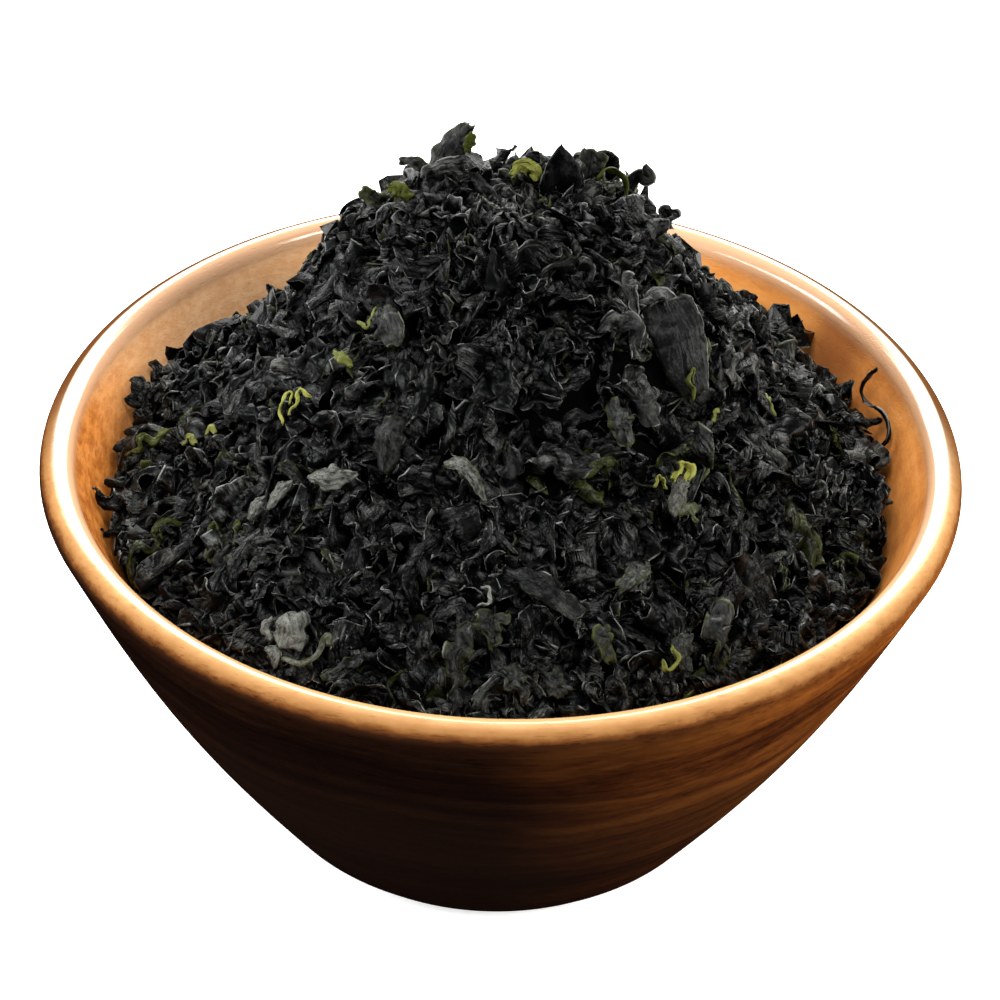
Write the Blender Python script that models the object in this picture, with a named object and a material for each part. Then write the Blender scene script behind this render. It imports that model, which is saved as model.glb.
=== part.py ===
"""A turned wooden bowl heaped with dried cut wakame.

Run with: blender --background --python part.py
Lengths are in metres. +Z is up, the origin is the middle of the bowl's flat foot,
and -Y is the front of the heap, whose peak lies a little behind the bowl's middle.
"""

import math
import random

import bmesh
import bpy
from mathutils import Matrix, Vector
from mathutils.geometry import delaunay_2d_cdt

# Driving sizes of the bowl.
RIM_RADIUS = 0.080
RIM_PLANE = 0.0728  # height of the widest circle, at the lower edge of the rounded lip
LIP_RISE = 0.0037  # from that circle to the crest of the lip
LIP_THICKNESS = 0.0062
FOOT_RADIUS = 0.0408
FOOT_ROUNDING = 0.0020
WALL_BULGE = 0.0029  # how far the wall swells past a straight cone
WALL_THICKNESS = 0.0066
FLOOR_THICKNESS = 0.0085
HOLLOW_CORNER = 0.022  # radius between the inner wall and the floor
BOWL_SEGMENTS = 64

# Driving sizes of the heap. Heights are measured from RIM_PLANE.
PEAK = Vector((0.0010, 0.0100))
MOUND_HEIGHT = 0.0385
MOUND_SPREAD = 0.0400
MOUND_POWER = 3.2
SKIRT_HEIGHT = 0.0190
SKIRT_POWER = 3.0
EDGE_AT_SIDES = -0.0085
EDGE_AT_BACK = -0.0080
EDGE_AT_FRONT = -0.0040
# Drifts of flakes against the wall: degrees round from +X, spread in degrees, rise at the wall.
DRIFTS = ((152, 17, 0.0045), (122, 9, 0.0040), (48, 11, 0.0050))
DRIFT_POWER = 5  # how fast a drift fades in from the wall
FIT_GAP = 0.00035  # the heap stops this far short of the wood

# The core under the flakes, crumpled by moving its points up and down at random.
CORE_DEPTH = 0.0040
CORE_SPACING = 0.0075
CORE_CRUMPLE = 0.0013

# The flakes: blades with their two faces split alike, thick in the middle, sharp at the rim.
FLAKE_COUNT = 184
FLAKE_LENGTH = (0.0085, 0.0145)
FLAKE_WIDTH = (0.0048, 0.0085)
FLAKE_THICKNESS = 0.0008
FLAKE_SINK = 0.0013  # how far a flake's lowest corner goes into the core
GOLDEN_ANGLE = math.pi * (3 - math.sqrt(5))
WALL_CLEARANCE = 0.0006
SEED = 7

# Flakes that stand out, each with its place in plan, its length and width, the way its length
# runs, the way its face looks, and its bends.
NAMED_FLAKES = (
    # the pointed tip at the top left, and the upright leaves and hooks along the top
    ((-0.0118, 0.0165), (0.0185, 0.0065), (0.7, 0.1, 0.7), (-0.3, -0.8, 0.5), (0.8, 0.5, 0.15, 0.05)),
    ((0.0130, 0.0190), (0.0095, 0.0055), (0.1, 0.1, 0.9), (-0.2, -0.9, 0.2), (0.6, 0.4, 0.20, 0.20)),
    ((0.0190, 0.0170), (0.0120, 0.0060), (0.5, 0.1, 0.8), (0.3, -0.8, 0.5), (1.9, 0.5, 0.10, 0.20)),
    ((-0.0215, 0.0180), (0.0110, 0.0050), (-0.8, 0.1, 0.5), (-0.2, -0.8, 0.5), (1.8, -0.6, 0.10, 0.20)),
    # the broad flat flake on the right of the mound
    ((0.0270, -0.0070), (0.0200, 0.0130), (0.2, -0.4, -0.9), (0.6, -0.7, 0.5), (0.3, 0.2, 0.05, 0.45)),
    # the roll on the left of the mound, and the leaf above it
    ((-0.0190, -0.0290), (0.0130, 0.0085), (0.6, -0.2, 0.7), (-0.3, -0.7, 0.6), (0.4, 0.3, -0.45, 0.60)),
    ((-0.0210, -0.0130), (0.0120, 0.0070), (-0.3, -0.4, -0.8), (-0.6, -0.6, 0.5), (0.9, 0.3, 0.15, 0.30)),
    # the cupped leaf at the front left, the long one at the front and two broad ones to the right
    ((-0.0340, -0.0520), (0.0140, 0.0095), (0.7, 0.5, 0.4), (-0.1, -0.6, 0.8), (0.9, 0.2, 0.30, 0.50)),
    ((0.0080, -0.0480), (0.0150, 0.0065), (0.8, -0.3, -0.3), (0.1, -0.6, 0.7), (0.5, 0.4, 0.10, 0.30)),
    ((0.0350, -0.0400), (0.0110, 0.0090), (0.6, -0.2, 0.7), (0.2, -0.7, 0.6), (0.4, 0.2, 0.10, 0.60)),
    ((0.0370, -0.0485), (0.0110, 0.0085), (0.7, -0.1, 0.6), (0.1, -0.8, 0.6), (0.4, -0.2, 0.15, 0.55)),
    # two pale flakes at the front lip
    ((-0.0085, -0.0610), (0.0120, 0.0085), (0.5, -0.1, 0.8), (-0.1, -0.9, 0.4), (0.5, 0.3, 0.20, 0.45)),
    ((0.0050, -0.0600), (0.0120, 0.0085), (0.8, 0.0, -0.5), (0.1, -0.8, 0.6), (0.7, 0.3, 0.20, 0.45)),
    # the strand that stands by the wall on the right, and the dark point on the left
    ((0.0650, 0.0120), (0.0210, 0.0030), (0.0, 0.8, 0.6), (-0.8, -0.2, 0.4), (0.6, 1.6, 0.10, 0.40)),
    ((-0.0665, -0.0030), (0.0090, 0.0050), (-0.8, 0.1, 0.4), (-0.2, -0.7, 0.7), (0.6, 0.3, 0.15, 0.10)),
)

# Room kept free between the heap and the lip: middle of each box, then its half sizes.
FREE_BOXES = (
    (Vector((-0.0645, -0.0135, 0.0730)), Vector((0.0027, 0.0090, 0.0034))),
    (Vector((0.0645, -0.0135, 0.0730)), Vector((0.0027, 0.0090, 0.0034))),
)
BOX_CLEARANCE = 0.0004

WAKAME_COLOUR = (0.020, 0.024, 0.022, 1.0)
WOOD_COLOUR = (0.36, 0.15, 0.05, 1.0)


def clear_scene():
    for obj in list(bpy.data.objects):
        bpy.data.objects.remove(obj, do_unlink=True)


def material(name, colour, roughness):
    made = bpy.data.materials.new(name)
    made.use_nodes = True
    shader = made.node_tree.nodes["Principled BSDF"]
    shader.inputs["Base Color"].default_value = colour
    shader.inputs["Roughness"].default_value = roughness
    shader.inputs["Metallic"].default_value = 0.0
    return made


def add_object(name, bm, finish):
    mesh = bpy.data.meshes.new(name)
    bm.to_mesh(mesh)
    bm.free()
    mesh.materials.append(finish)
    made = bpy.data.objects.new(name, mesh)
    bpy.context.scene.collection.objects.link(made)
    return made


# The bowl -------------------------------------------------------------------------------


def outer_radius(z):
    """Radius of the outer wall at height z, below the rim."""
    share = z / RIM_PLANE
    cone = FOOT_RADIUS + (RIM_RADIUS - FOOT_RADIUS) * share
    return cone + WALL_BULGE * math.sin(math.pi * share)


def inner_radius(z):
    """Radius of the inner wall at height z, above the hollow's rounded bottom."""
    return outer_radius(min(z, RIM_PLANE)) - WALL_THICKNESS


def arc(centre, radii, start, end, steps):
    """Points (r, z) on an ellipse in the bowl's half section, angles in degrees."""
    points = []
    for i in range(steps + 1):
        angle = math.radians(start + (end - start) * i / steps)
        points.append((centre[0] + radii[0] * math.cos(angle), centre[1] + radii[1] * math.sin(angle)))
    return points


def hollow_section(steps):
    """The hollow's half section, from the inside of the lip down to its middle.

    The rounding of its bottom corner meets the wall without a kink.
    """
    top = RIM_PLANE - 0.0015
    low = FLOOR_THICKNESS + 0.45 * HOLLOW_CORNER
    lean = math.atan2(inner_radius(low + 0.001) - inner_radius(low), 0.001)
    wall = [low + (top - low) * (1 - i / steps) for i in range(steps + 1)]
    points = [(inner_radius(z), z) for z in wall]
    centre = (points[-1][0] - HOLLOW_CORNER * math.cos(lean), low + HOLLOW_CORNER * math.sin(lean))
    points += arc(centre, (HOLLOW_CORNER, HOLLOW_CORNER), -math.degrees(lean), -90, 3)[1:]
    points.append((0.0, points[-1][1] - 0.0004))
    return points


def bowl_section():
    """The wood's half section, from the middle of the foot out, up, over the lip and back in."""
    corner = (FOOT_RADIUS - FOOT_ROUNDING, FOOT_ROUNDING)
    points = [(0.0, 0.0)]
    points += arc(corner, (FOOT_ROUNDING, FOOT_ROUNDING), -90, 0, 2)
    heights = [FOOT_ROUNDING + (RIM_PLANE - FOOT_ROUNDING) * i / 6 for i in range(1, 6)]
    points += [(outer_radius(z), z) for z in heights]
    lip_middle = RIM_RADIUS - LIP_THICKNESS / 2
    points += arc((lip_middle, RIM_PLANE), (LIP_THICKNESS / 2, LIP_RISE), 0, 170, 6)
    return points + hollow_section(4)


def turned(section):
    """A closed solid of revolution of a half section that starts and ends on the axis."""
    bm = bmesh.new()
    rings = []
    for r, z in section:
        if r == 0:
            rings.append([bm.verts.new((0, 0, z))])
            continue
        angles = [2 * math.pi * i / BOWL_SEGMENTS for i in range(BOWL_SEGMENTS)]
        rings.append([bm.verts.new((r * math.cos(a), r * math.sin(a), z)) for a in angles])
    for low, high in zip(rings, rings[1:]):
        for i in range(BOWL_SEGMENTS):
            j = (i + 1) % BOWL_SEGMENTS
            corners = [low[i % len(low)], low[j % len(low)], high[j % len(high)], high[i % len(high)]]
            bm.faces.new(list(dict.fromkeys(corners)))
    bmesh.ops.recalc_face_normals(bm, faces=bm.faces)
    return bm


def make_bowl():
    bowl = add_object("bowl", turned(bowl_section()), material("wood", WOOD_COLOUR, 0.35))
    bowl.data.shade_smooth()
    bowl.data.set_sharp_from_angle(angle=math.radians(50))
    return bowl


# The heap -------------------------------------------------------------------------------


def edge_height(angle):
    """Height at which the heap meets the wall, from RIM_PLANE, without its drifts."""
    towards_back = math.sin(angle)
    other = EDGE_AT_BACK if towards_back > 0 else EDGE_AT_FRONT
    return EDGE_AT_SIDES + (other - EDGE_AT_SIDES) * towards_back**2


def drift_height(angle):
    """How far the flakes drifted up the wall at an angle round the bowl."""
    degrees = math.degrees(angle)
    return sum(rise * math.exp(-(((degrees - place) / spread) ** 2)) for place, spread, rise in DRIFTS)


def edge_radius(angle):
    return inner_radius(RIM_PLANE + edge_height(angle) + drift_height(angle)) - FIT_GAP


def heap_height(x, y):
    """Height of the heap's mean outer surface at a place in plan."""
    angle = math.atan2(y, x)
    share = min(math.hypot(x, y) / edge_radius(angle), 1.0)
    from_peak = (Vector((x, y)) - PEAK).length
    mound = MOUND_HEIGHT * math.exp(-((from_peak / MOUND_SPREAD) ** MOUND_POWER))
    skirt = SKIRT_HEIGHT * (1 - share**SKIRT_POWER)
    edge = RIM_PLANE + edge_height(angle) + drift_height(angle) * share**DRIFT_POWER
    return edge + (mound + skirt) * (1 - share**12)


def heap_normal(x, y):
    step = 0.002
    across = heap_height(x + step, y) - heap_height(x - step, y)
    along = heap_height(x, y + step) - heap_height(x, y - step)
    return Vector((-across, -along, 2 * step)).normalized()


def core_height(x, y):
    """The core's top: the heap's surface let down by CORE_DEPTH, but level with its edge at the wall."""
    share = min(math.hypot(x, y) / edge_radius(math.atan2(y, x)), 1.0)
    return heap_height(x, y) - CORE_DEPTH * (1 - share**8)


def core_plan():
    """Points of the core's top in plan: a ring at the wall, then an even spiral inside it."""
    ring = []
    for i in range(BOWL_SEGMENTS):
        angle = 2 * math.pi * i / BOWL_SEGMENTS
        ring.append(Vector((math.cos(angle), math.sin(angle))) * edge_radius(angle))
    reach = min(p.length for p in ring) - 0.6 * CORE_SPACING
    count = int((reach / CORE_SPACING) ** 2 * math.pi)
    spiral = []
    for i in range(count):
        r = reach * math.sqrt((i + 0.5) / count)
        angle = i * GOLDEN_ANGLE
        spiral.append(Vector((math.cos(angle), math.sin(angle))) * r)
    return ring, spiral


def make_core(rng, finish):
    """The heap's core: a crumpled top over a body that fits the bowl's hollow."""
    ring, spiral = core_plan()
    count = len(ring)
    plan = ring + spiral
    triangles = delaunay_2d_cdt(plan, [], [list(range(count))], 1, 1e-7)[2]
    bm = bmesh.new()
    top = []
    for i, p in enumerate(plan):
        crumple = 0 if i < count else rng.uniform(-1, 1) * CORE_CRUMPLE
        top.append(bm.verts.new((p.x, p.y, core_height(p.x, p.y) + crumple)))
    for corners in triangles:
        bm.faces.new([top[k] for k in corners])
    upper = top[:count]
    lowest_edge = RIM_PLANE + min(EDGE_AT_SIDES, EDGE_AT_BACK, EDGE_AT_FRONT)
    section = [(r - FIT_GAP, z + FIT_GAP) for r, z in hollow_section(2) if z < lowest_edge]
    for r, z in section[:-1:2]:
        angles = [2 * math.pi * i / count for i in range(count)]
        lower = [bm.verts.new((r * math.cos(a), r * math.sin(a), z)) for a in angles]
        for i in range(count):
            j = (i + 1) % count
            bm.faces.new((upper[i], upper[j], lower[j], lower[i]))
        upper = lower
    bm.faces.new(upper)
    bmesh.ops.recalc_face_normals(bm, faces=bm.faces)
    return add_object("wakame", bm, finish)


# The flakes -----------------------------------------------------------------------------


def flake_grid(size, bends, stations, across=3):
    """Points of one flake's middle sheet, of a length and width.

    Its bends are the curl along its length, its twist, how far it cups across, and how broad
    its ends stay.
    """
    length, width = size
    curl, twist, cup, ends = bends
    rows = []
    place = Vector((0, 0, 0))
    for i in range(stations):
        share = i / (stations - 1)
        bend = curl * (share - 0.5)
        along = Vector((math.cos(bend), 0, math.sin(bend)))
        if i:
            place = place + along * (length / (stations - 1))
        side = Matrix.Rotation(twist * (share - 0.5), 3, along) @ Vector((0, 1, 0))
        up = along.cross(side)
        breadth = width * (ends + (1 - ends) * math.sin(math.pi * (0.1 + 0.8 * share)))
        row = []
        for j in range(across):
            over = j / (across - 1) - 0.5
            row.append(place + side * (breadth * over) - up * (cup * breadth * (1 - 4 * over**2)))
        rows.append(row)
    middle = rows[stations // 2][across // 2].copy()
    return [[p - middle for p in row] for row in rows]


def sheet_normal(rows, i, j):
    along = rows[min(i + 1, len(rows) - 1)][j] - rows[max(i - 1, 0)][j]
    over = rows[i][min(j + 1, len(rows[0]) - 1)] - rows[i][max(j - 1, 0)]
    return along.cross(over).normalized()


def flake_mesh(rows, thickness):
    """A closed blade about a sheet, both faces split alike, sharp all round.

    The sheet has an odd number of rows and of columns.
    """
    bm = bmesh.new()
    last_i, last_j = len(rows) - 1, len(rows[0]) - 1
    faces = ([], [])
    for i, row in enumerate(rows):
        for line in faces:
            line.append([])
        for j, p in enumerate(row):
            if i in (0, last_i) or j in (0, last_j):
                shared = bm.verts.new(p)
                faces[0][i].append(shared)
                faces[1][i].append(shared)
                continue
            offset = sheet_normal(rows, i, j) * (thickness / 2)
            faces[0][i].append(bm.verts.new(p + offset))
            faces[1][i].append(bm.verts.new(p - offset))
    for i in range(last_i):
        for j in range(last_j):
            for grid, order in zip(faces, (1, -1)):
                a, b, c, d = grid[i][j], grid[i + 1][j], grid[i + 1][j + 1], grid[i][j + 1]
                split = ((a, b, d), (b, c, d)) if (i + j) % 2 else ((a, b, c), (a, c, d))
                for corners in split:
                    bm.faces.new(corners[::order])
    return bm


def stands_clear(points):
    """True if a flake keeps off the wood and out of the free boxes."""
    for p in points:
        if math.hypot(p.x, p.y) > inner_radius(p.z) - WALL_CLEARANCE:
            return False
        for middle, half in FREE_BOXES:
            if all(abs(p[k] - middle[k]) < half[k] + BOX_CLEARANCE for k in range(3)):
                return False
    return True


def set_down(rows, x, y):
    """The sheet moved over (x, y) until its lowest corner is FLAKE_SINK into the core."""
    drop = min(p.z - core_height(x + p.x, y + p.y) for row in rows for p in row)
    move = Vector((x, y, -drop - FLAKE_SINK))
    return [[p + move for p in row] for row in rows]


def turned_sheet(rows, x, y, heading, tilt, roll):
    """The sheet laid along the heap's slope at (x, y), turned by heading, tilted and rolled."""
    stand = heap_normal(x, y).to_track_quat("Z", "X").to_matrix()
    turn = Matrix.Rotation(heading, 3, "Z")
    turn = turn @ Matrix.Rotation(tilt, 3, "Y") @ Matrix.Rotation(roll, 3, "X")
    return [[stand @ (turn @ p) for p in row] for row in rows]


def scattered_flakes(rng):
    """Sheets of the ordinary flakes, evenly spread by a spiral, each bent in its own way."""
    sheets = []
    reach = RIM_RADIUS - WALL_THICKNESS - 0.004
    for i in range(FLAKE_COUNT):
        radius = reach * math.sqrt((i + 0.5) / FLAKE_COUNT)
        angle = i * GOLDEN_ANGLE + rng.uniform(-0.02, 0.02)
        size = (rng.uniform(*FLAKE_LENGTH), rng.uniform(*FLAKE_WIDTH))
        curl = rng.choice((1, -1)) * rng.uniform(0.3, 2.2)
        bends = (curl, rng.uniform(-1.3, 1.3), rng.uniform(-0.35, 0.35), rng.uniform(0.1, 0.6))
        rows = flake_grid(size, bends, stations=rng.choice((3, 3, 5)))
        along_wall = radius > reach - 0.007
        heading = math.pi / 2 + rng.uniform(-0.5, 0.5) if along_wall else rng.uniform(0, 2 * math.pi)
        tilt, roll = rng.uniform(-0.5, 0.5), rng.uniform(-0.9, 0.9)
        for step in range(9):
            near = radius - 0.0006 * step
            x, y = near * math.cos(angle), near * math.sin(angle)
            smaller = [[p * 0.94**step for p in row] for row in rows]
            placed = set_down(turned_sheet(smaller, x, y, heading, tilt, roll), x, y)
            if stands_clear([p for row in placed for p in row]):
                sheets.append(placed)
                break
    return sheets


def named_flakes():
    """Sheets of the flakes that stand out, turned the way each one is seen."""
    sheets = []
    for (x, y), size, along, facing, bends in NAMED_FLAKES:
        run = Vector(along).normalized()
        side = Vector(facing).cross(run).normalized()
        stand = Matrix((run, side, run.cross(side))).transposed()
        rows = [[stand @ p for p in row] for row in flake_grid(size, bends, stations=5)]
        sheets.append(set_down(rows, x, y))
    return sheets


def join_heap(core, sheets, finish):
    """One Boolean union of the core with every flake, its largest shell kept."""
    group = bpy.data.collections.new("flakes")
    bpy.context.scene.collection.children.link(group)
    for i, rows in enumerate(sheets):
        flake = add_object(f"flake_{i:03d}", flake_mesh(rows, FLAKE_THICKNESS), finish)
        bpy.context.scene.collection.objects.unlink(flake)
        group.objects.link(flake)
    union = core.modifiers.new("join", "BOOLEAN")
    union.operation = "UNION"
    union.operand_type = "COLLECTION"
    union.solver = "EXACT"
    union.collection = group
    bpy.context.view_layer.update()
    graph = bpy.context.evaluated_depsgraph_get()
    joined = bpy.data.meshes.new_from_object(core.evaluated_get(graph))
    core.modifiers.remove(union)
    core.data = joined
    for flake in list(group.objects):
        bpy.data.objects.remove(flake, do_unlink=True)
    bpy.data.collections.remove(group)
    keep_largest_shell(core.data)


def keep_largest_shell(mesh):
    """Drops the scraps that touch nothing and the walls of hollows that the union sealed."""
    bm = bmesh.new()
    bm.from_mesh(mesh)
    left = set(bm.faces)
    shells = []
    while left:
        shell, edge = set(), [left.pop()]
        while edge:
            face = edge.pop()
            shell.add(face)
            near = {f for e in face.edges for f in e.link_faces} & left
            left -= near
            edge.extend(near)
        shells.append(shell)
    shells.sort(key=len)
    extra = [f for shell in shells[:-1] for f in shell]
    bmesh.ops.delete(bm, geom=extra, context="FACES")
    bmesh.ops.triangulate(bm, faces=bm.faces)
    bm.to_mesh(mesh)
    bm.free()


def make_heap():
    finish = material("wakame", WAKAME_COLOUR, 0.6)
    rng = random.Random(SEED)
    core = make_core(rng, finish)
    sheets = named_flakes() + scattered_flakes(rng)
    join_heap(core, sheets, finish)
    return core


clear_scene()
make_bowl()
make_heap()
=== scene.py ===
"""A turned wooden bowl heaped with dried cut wakame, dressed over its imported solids.

Lengths are in metres, +Z is up and -Y is the front.
"""

import math

import bpy
import numpy as np
from mathutils import Matrix, Vector


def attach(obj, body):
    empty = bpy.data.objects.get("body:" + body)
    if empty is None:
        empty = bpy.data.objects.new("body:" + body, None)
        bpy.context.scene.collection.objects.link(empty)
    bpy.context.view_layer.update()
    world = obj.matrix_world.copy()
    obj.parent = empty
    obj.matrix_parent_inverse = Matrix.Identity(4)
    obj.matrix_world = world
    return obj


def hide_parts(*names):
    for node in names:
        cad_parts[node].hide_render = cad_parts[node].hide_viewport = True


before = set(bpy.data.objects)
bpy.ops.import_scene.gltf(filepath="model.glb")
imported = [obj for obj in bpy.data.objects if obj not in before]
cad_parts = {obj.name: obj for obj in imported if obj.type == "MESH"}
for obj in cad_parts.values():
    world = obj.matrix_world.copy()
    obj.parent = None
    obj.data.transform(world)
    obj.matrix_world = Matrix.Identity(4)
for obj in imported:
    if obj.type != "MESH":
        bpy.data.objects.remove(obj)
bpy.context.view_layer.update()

# The camera -------------------------------------------------------------------------------
# A close view from the front, 37 degrees above level and rolled a little, from about
# 56 cm away, which is what the bowl's ellipses and wall measure to in the photograph.

AIM = Vector((0.0, 0.0, 0.0620))
CAMERA_DISTANCE = 0.560
CAMERA_ELEVATION = math.radians(36.77)
CAMERA_ROLL = math.radians(1.79)
LENS = 114.2
SENSOR_WIDTH = 36
NEAREST_SEEN = 0.02


def put_in_scene(name, data):
    """A new object of this data, linked into the scene."""
    made = bpy.data.objects.new(name, data)
    bpy.context.scene.collection.objects.link(made)
    return made


def looking(place, direction):
    """The matrix of a camera or a lamp that stands at a place and looks along a direction."""
    return Matrix.Translation(place) @ direction.to_track_quat("-Z", "Y").to_matrix().to_4x4()


camera = put_in_scene("camera", bpy.data.cameras.new("camera"))
camera.data.sensor_width = SENSOR_WIDTH
camera.data.lens = LENS
camera.data.clip_start = NEAREST_SEEN
towards_camera = Vector((0, -math.cos(CAMERA_ELEVATION), math.sin(CAMERA_ELEVATION)))
camera_place = AIM + towards_camera * CAMERA_DISTANCE
camera.matrix_world = looking(camera_place, -towards_camera) @ Matrix.Rotation(CAMERA_ROLL, 4, "Z")
bpy.context.scene.camera = camera

# The floor and the light ------------------------------------------------------------------
# A pale matt floor, a long soft box behind the bowl that draws the white line along its lip, and
# weaker ones above and at both sides, so that the front of the bowl stays dark.

FLOOR_SIZE = 6.0
FLOOR_COLOUR = (0.86, 0.86, 0.86, 1.0)
WHITE = (1, 1, 1, 1)
WORLD_LIGHT = 0.065
FLOOR_GLOW = 0.62


class Wire:
    """An output socket of a material's nodes, so that shader maths is written as arithmetic."""

    def __init__(self, finish, socket):
        self.finish = finish
        self.socket = socket

    def maths(self, operation, first, second=0.0):
        return self.finish.node("ShaderNodeMath", {"operation": operation}, {0: first, 1: second})

    def __add__(self, other):
        return self.maths("ADD", self, other)

    def __sub__(self, other):
        return self.maths("SUBTRACT", self, other)

    def __rsub__(self, other):
        return self.maths("SUBTRACT", other, self)

    def __mul__(self, other):
        return self.maths("MULTIPLY", self, other)

    def __abs__(self):
        return self.maths("ABSOLUTE", self)

    def at_least(self, other):
        return self.maths("MAXIMUM", self, other)

    __radd__ = __add__
    __rmul__ = __mul__


class Finish:
    """A material being built on its Principled shader, whose plain values are set by name."""

    def __init__(self, name, **values):
        self.material = bpy.data.materials.new(name)
        self.material.use_nodes = True
        self.tree = self.material.node_tree
        self.shader = self.tree.nodes["Principled BSDF"]
        for socket, value in values.items():
            self.shader.inputs[socket.replace("_", " ")].default_value = value

    def node(self, kind, settings=None, inputs=None, output=0):
        """Adds a node: its settings first, a ramp's stops among them, then its sockets' values or links."""
        made = self.tree.nodes.new(kind)
        for setting, value in (settings or {}).items():
            if setting == "stops":
                self.set_stops(made.color_ramp, value)
            else:
                setattr(made, setting, value)
        for socket, value in (inputs or {}).items():
            self.feed(made.inputs[socket], value)
        return Wire(self, made.outputs[output])

    def feed(self, socket, value):
        if isinstance(value, Wire):
            self.tree.links.new(value.socket, socket)
        else:
            socket.default_value = value

    def set_stops(self, ramp, stops):
        while len(ramp.elements) < len(stops):
            ramp.elements.new(1.0)
        for element, (place, colour) in zip(ramp.elements, stops):
            element.position = place
            element.color = colour

    def attribute(self, name, output="Fac"):
        """What the mesh carries at each point under this name."""
        return self.node("ShaderNodeAttribute", {"attribute_name": name}, output=output)

    def mix(self, share, first, second):
        """Mixes two colours."""
        settings = {"data_type": "RGBA", "blend_type": "MIX", "clamp_factor": True}
        return self.node("ShaderNodeMix", settings, {0: share, 6: first, 7: second}, output=2)

    def stretched(self, size, place=None):
        """A place, or else the object's coordinates, divided by a grain size along each axis, in metres."""
        place = place or self.node("ShaderNodeTexCoord", output="Object")
        scale = [1 / length for length in size]
        return self.node("ShaderNodeVectorMath", {"operation": "MULTIPLY"}, {0: place, 1: scale})

    def part(self, vector, axis):
        """One of a vector's three numbers, by its letter."""
        return self.node("ShaderNodeSeparateXYZ", {}, {0: vector}, output="XYZ".index(axis))

    def crests(self, vector, sharpness, detail=2.0):
        """Thin lines, 1 along their crest and 0 between, that wander through a noise."""
        swell = self.noise(vector, detail=detail) * 2 - 1
        return (1 - abs(swell) * sharpness).at_least(0.0)

    def noise(self, vector, detail=3.0, roughness=0.55):
        inputs = {"Vector": vector, "Scale": 1.0, "Detail": detail, "Roughness": roughness}
        return self.node("ShaderNodeTexNoise", {}, inputs)

    def ramp(self, value, stops):
        return self.node("ShaderNodeValToRGB", {"stops": stops}, {"Fac": value})

    def between(self, value, low, high):
        """Where value lies between low and high, as 0 to 1, with soft ends."""
        inputs = {"Value": value, "From Min": low, "From Max": high}
        return self.node("ShaderNodeMapRange", {"interpolation_type": "SMOOTHSTEP"}, inputs)

    def bump(self, height, distance):
        relief = self.node("ShaderNodeBump", {}, {"Height": height, "Distance": distance, "Strength": 1.0})
        self.feed(self.shader.inputs["Normal"], relief)

    def colour(self, value):
        self.feed(self.shader.inputs["Base Color"], value)

    def roughness(self, value):
        self.feed(self.shader.inputs["Roughness"], value)


def add_mesh(name, points, faces, finish):
    """A smooth mesh object from a list of points and a list of faces."""
    mesh = bpy.data.meshes.new(name)
    mesh.from_pydata(points, [], faces)
    mesh.materials.append(finish.material)
    mesh.shade_smooth()
    return put_in_scene(name, mesh)


def add_light(name, place, target, size, watts, colour):
    lamp = bpy.data.lights.new(name, "AREA")
    lamp.shape = "RECTANGLE"
    lamp.size, lamp.size_y = size
    lamp.energy = watts
    lamp.color = colour
    put_in_scene(name, lamp).matrix_world = looking(place, Vector(target) - Vector(place))


floor_finish = Finish(
    "floor", Roughness=0.9, Base_Color=FLOOR_COLOUR, Emission_Color=WHITE, Emission_Strength=FLOOR_GLOW)
half = FLOOR_SIZE / 2
floor_corners = [(-half, -half, 0), (half, -half, 0), (half, half, 0), (-half, half, 0)]
floor = add_mesh("floor", floor_corners, [(0, 1, 2, 3)], floor_finish)

add_light("back_box", (0.0, 0.92, 0.60), (0, 0, 0.06), (1.9, 0.70), 44, (1.0, 0.99, 0.97))
add_light("top_box", (-0.10, -0.22, 1.05), (0, 0, 0.06), (0.5, 0.5), 8.5, (0.99, 0.99, 1.0))
add_light("left_box", (-0.95, -0.12, 0.50), (0, 0, 0.06), (0.7, 0.5), 15, (0.97, 0.99, 1.0))
add_light("right_box", (0.72, -0.55, 0.75), (0, 0, 0.06), (0.45, 0.45), 10.5, (1.0, 0.98, 0.95))
add_light("side_box", (0.95, -0.05, 0.22), (0, 0, 0.04), (0.45, 0.35), 5.0, (1.0, 0.96, 0.9))

world = bpy.data.worlds.new("studio")
bpy.context.scene.world = world
world.use_nodes = True
background = world.node_tree.nodes["Background"]
background.inputs["Color"].default_value = WHITE
background.inputs["Strength"].default_value = WORLD_LIGHT
bpy.context.scene.view_settings.view_transform = "Standard"

# The bowl ---------------------------------------------------------------------------------
# Turned on a lathe from one block of brown hardwood whose growth layers lie level, sanded
# and finished with oil to a satin gloss: pale orange inside and on the lip, dark brown bands outside,
# with painted light and shade laid over that colour in places.

RIM_RADIUS = 0.080
RIM_PLANE = 0.0728  # height at which the wall ends and the rounded lip begins
LIP_RISE = 0.0037
LIP_THICKNESS = 0.0062
CREST_TURN = 88  # degrees round the lip from its outer edge to where the hollow's wood begins
FOOT_RADIUS = 0.0408
FOOT_ROUNDING = 0.0020
WALL_BULGE = 0.0029
WALL_THICKNESS = 0.0066
BOTTOM_THICKNESS = 0.0085
HOLLOW_CORNER = 0.022
HOLLOW_DISH = 0.0004  # how much deeper the hollow's floor is in the middle
WALL_START = BOTTOM_THICKNESS + 0.45 * HOLLOW_CORNER
WALL_END = RIM_PLANE - 0.0015
BOWL_SEGMENTS = 256

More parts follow.
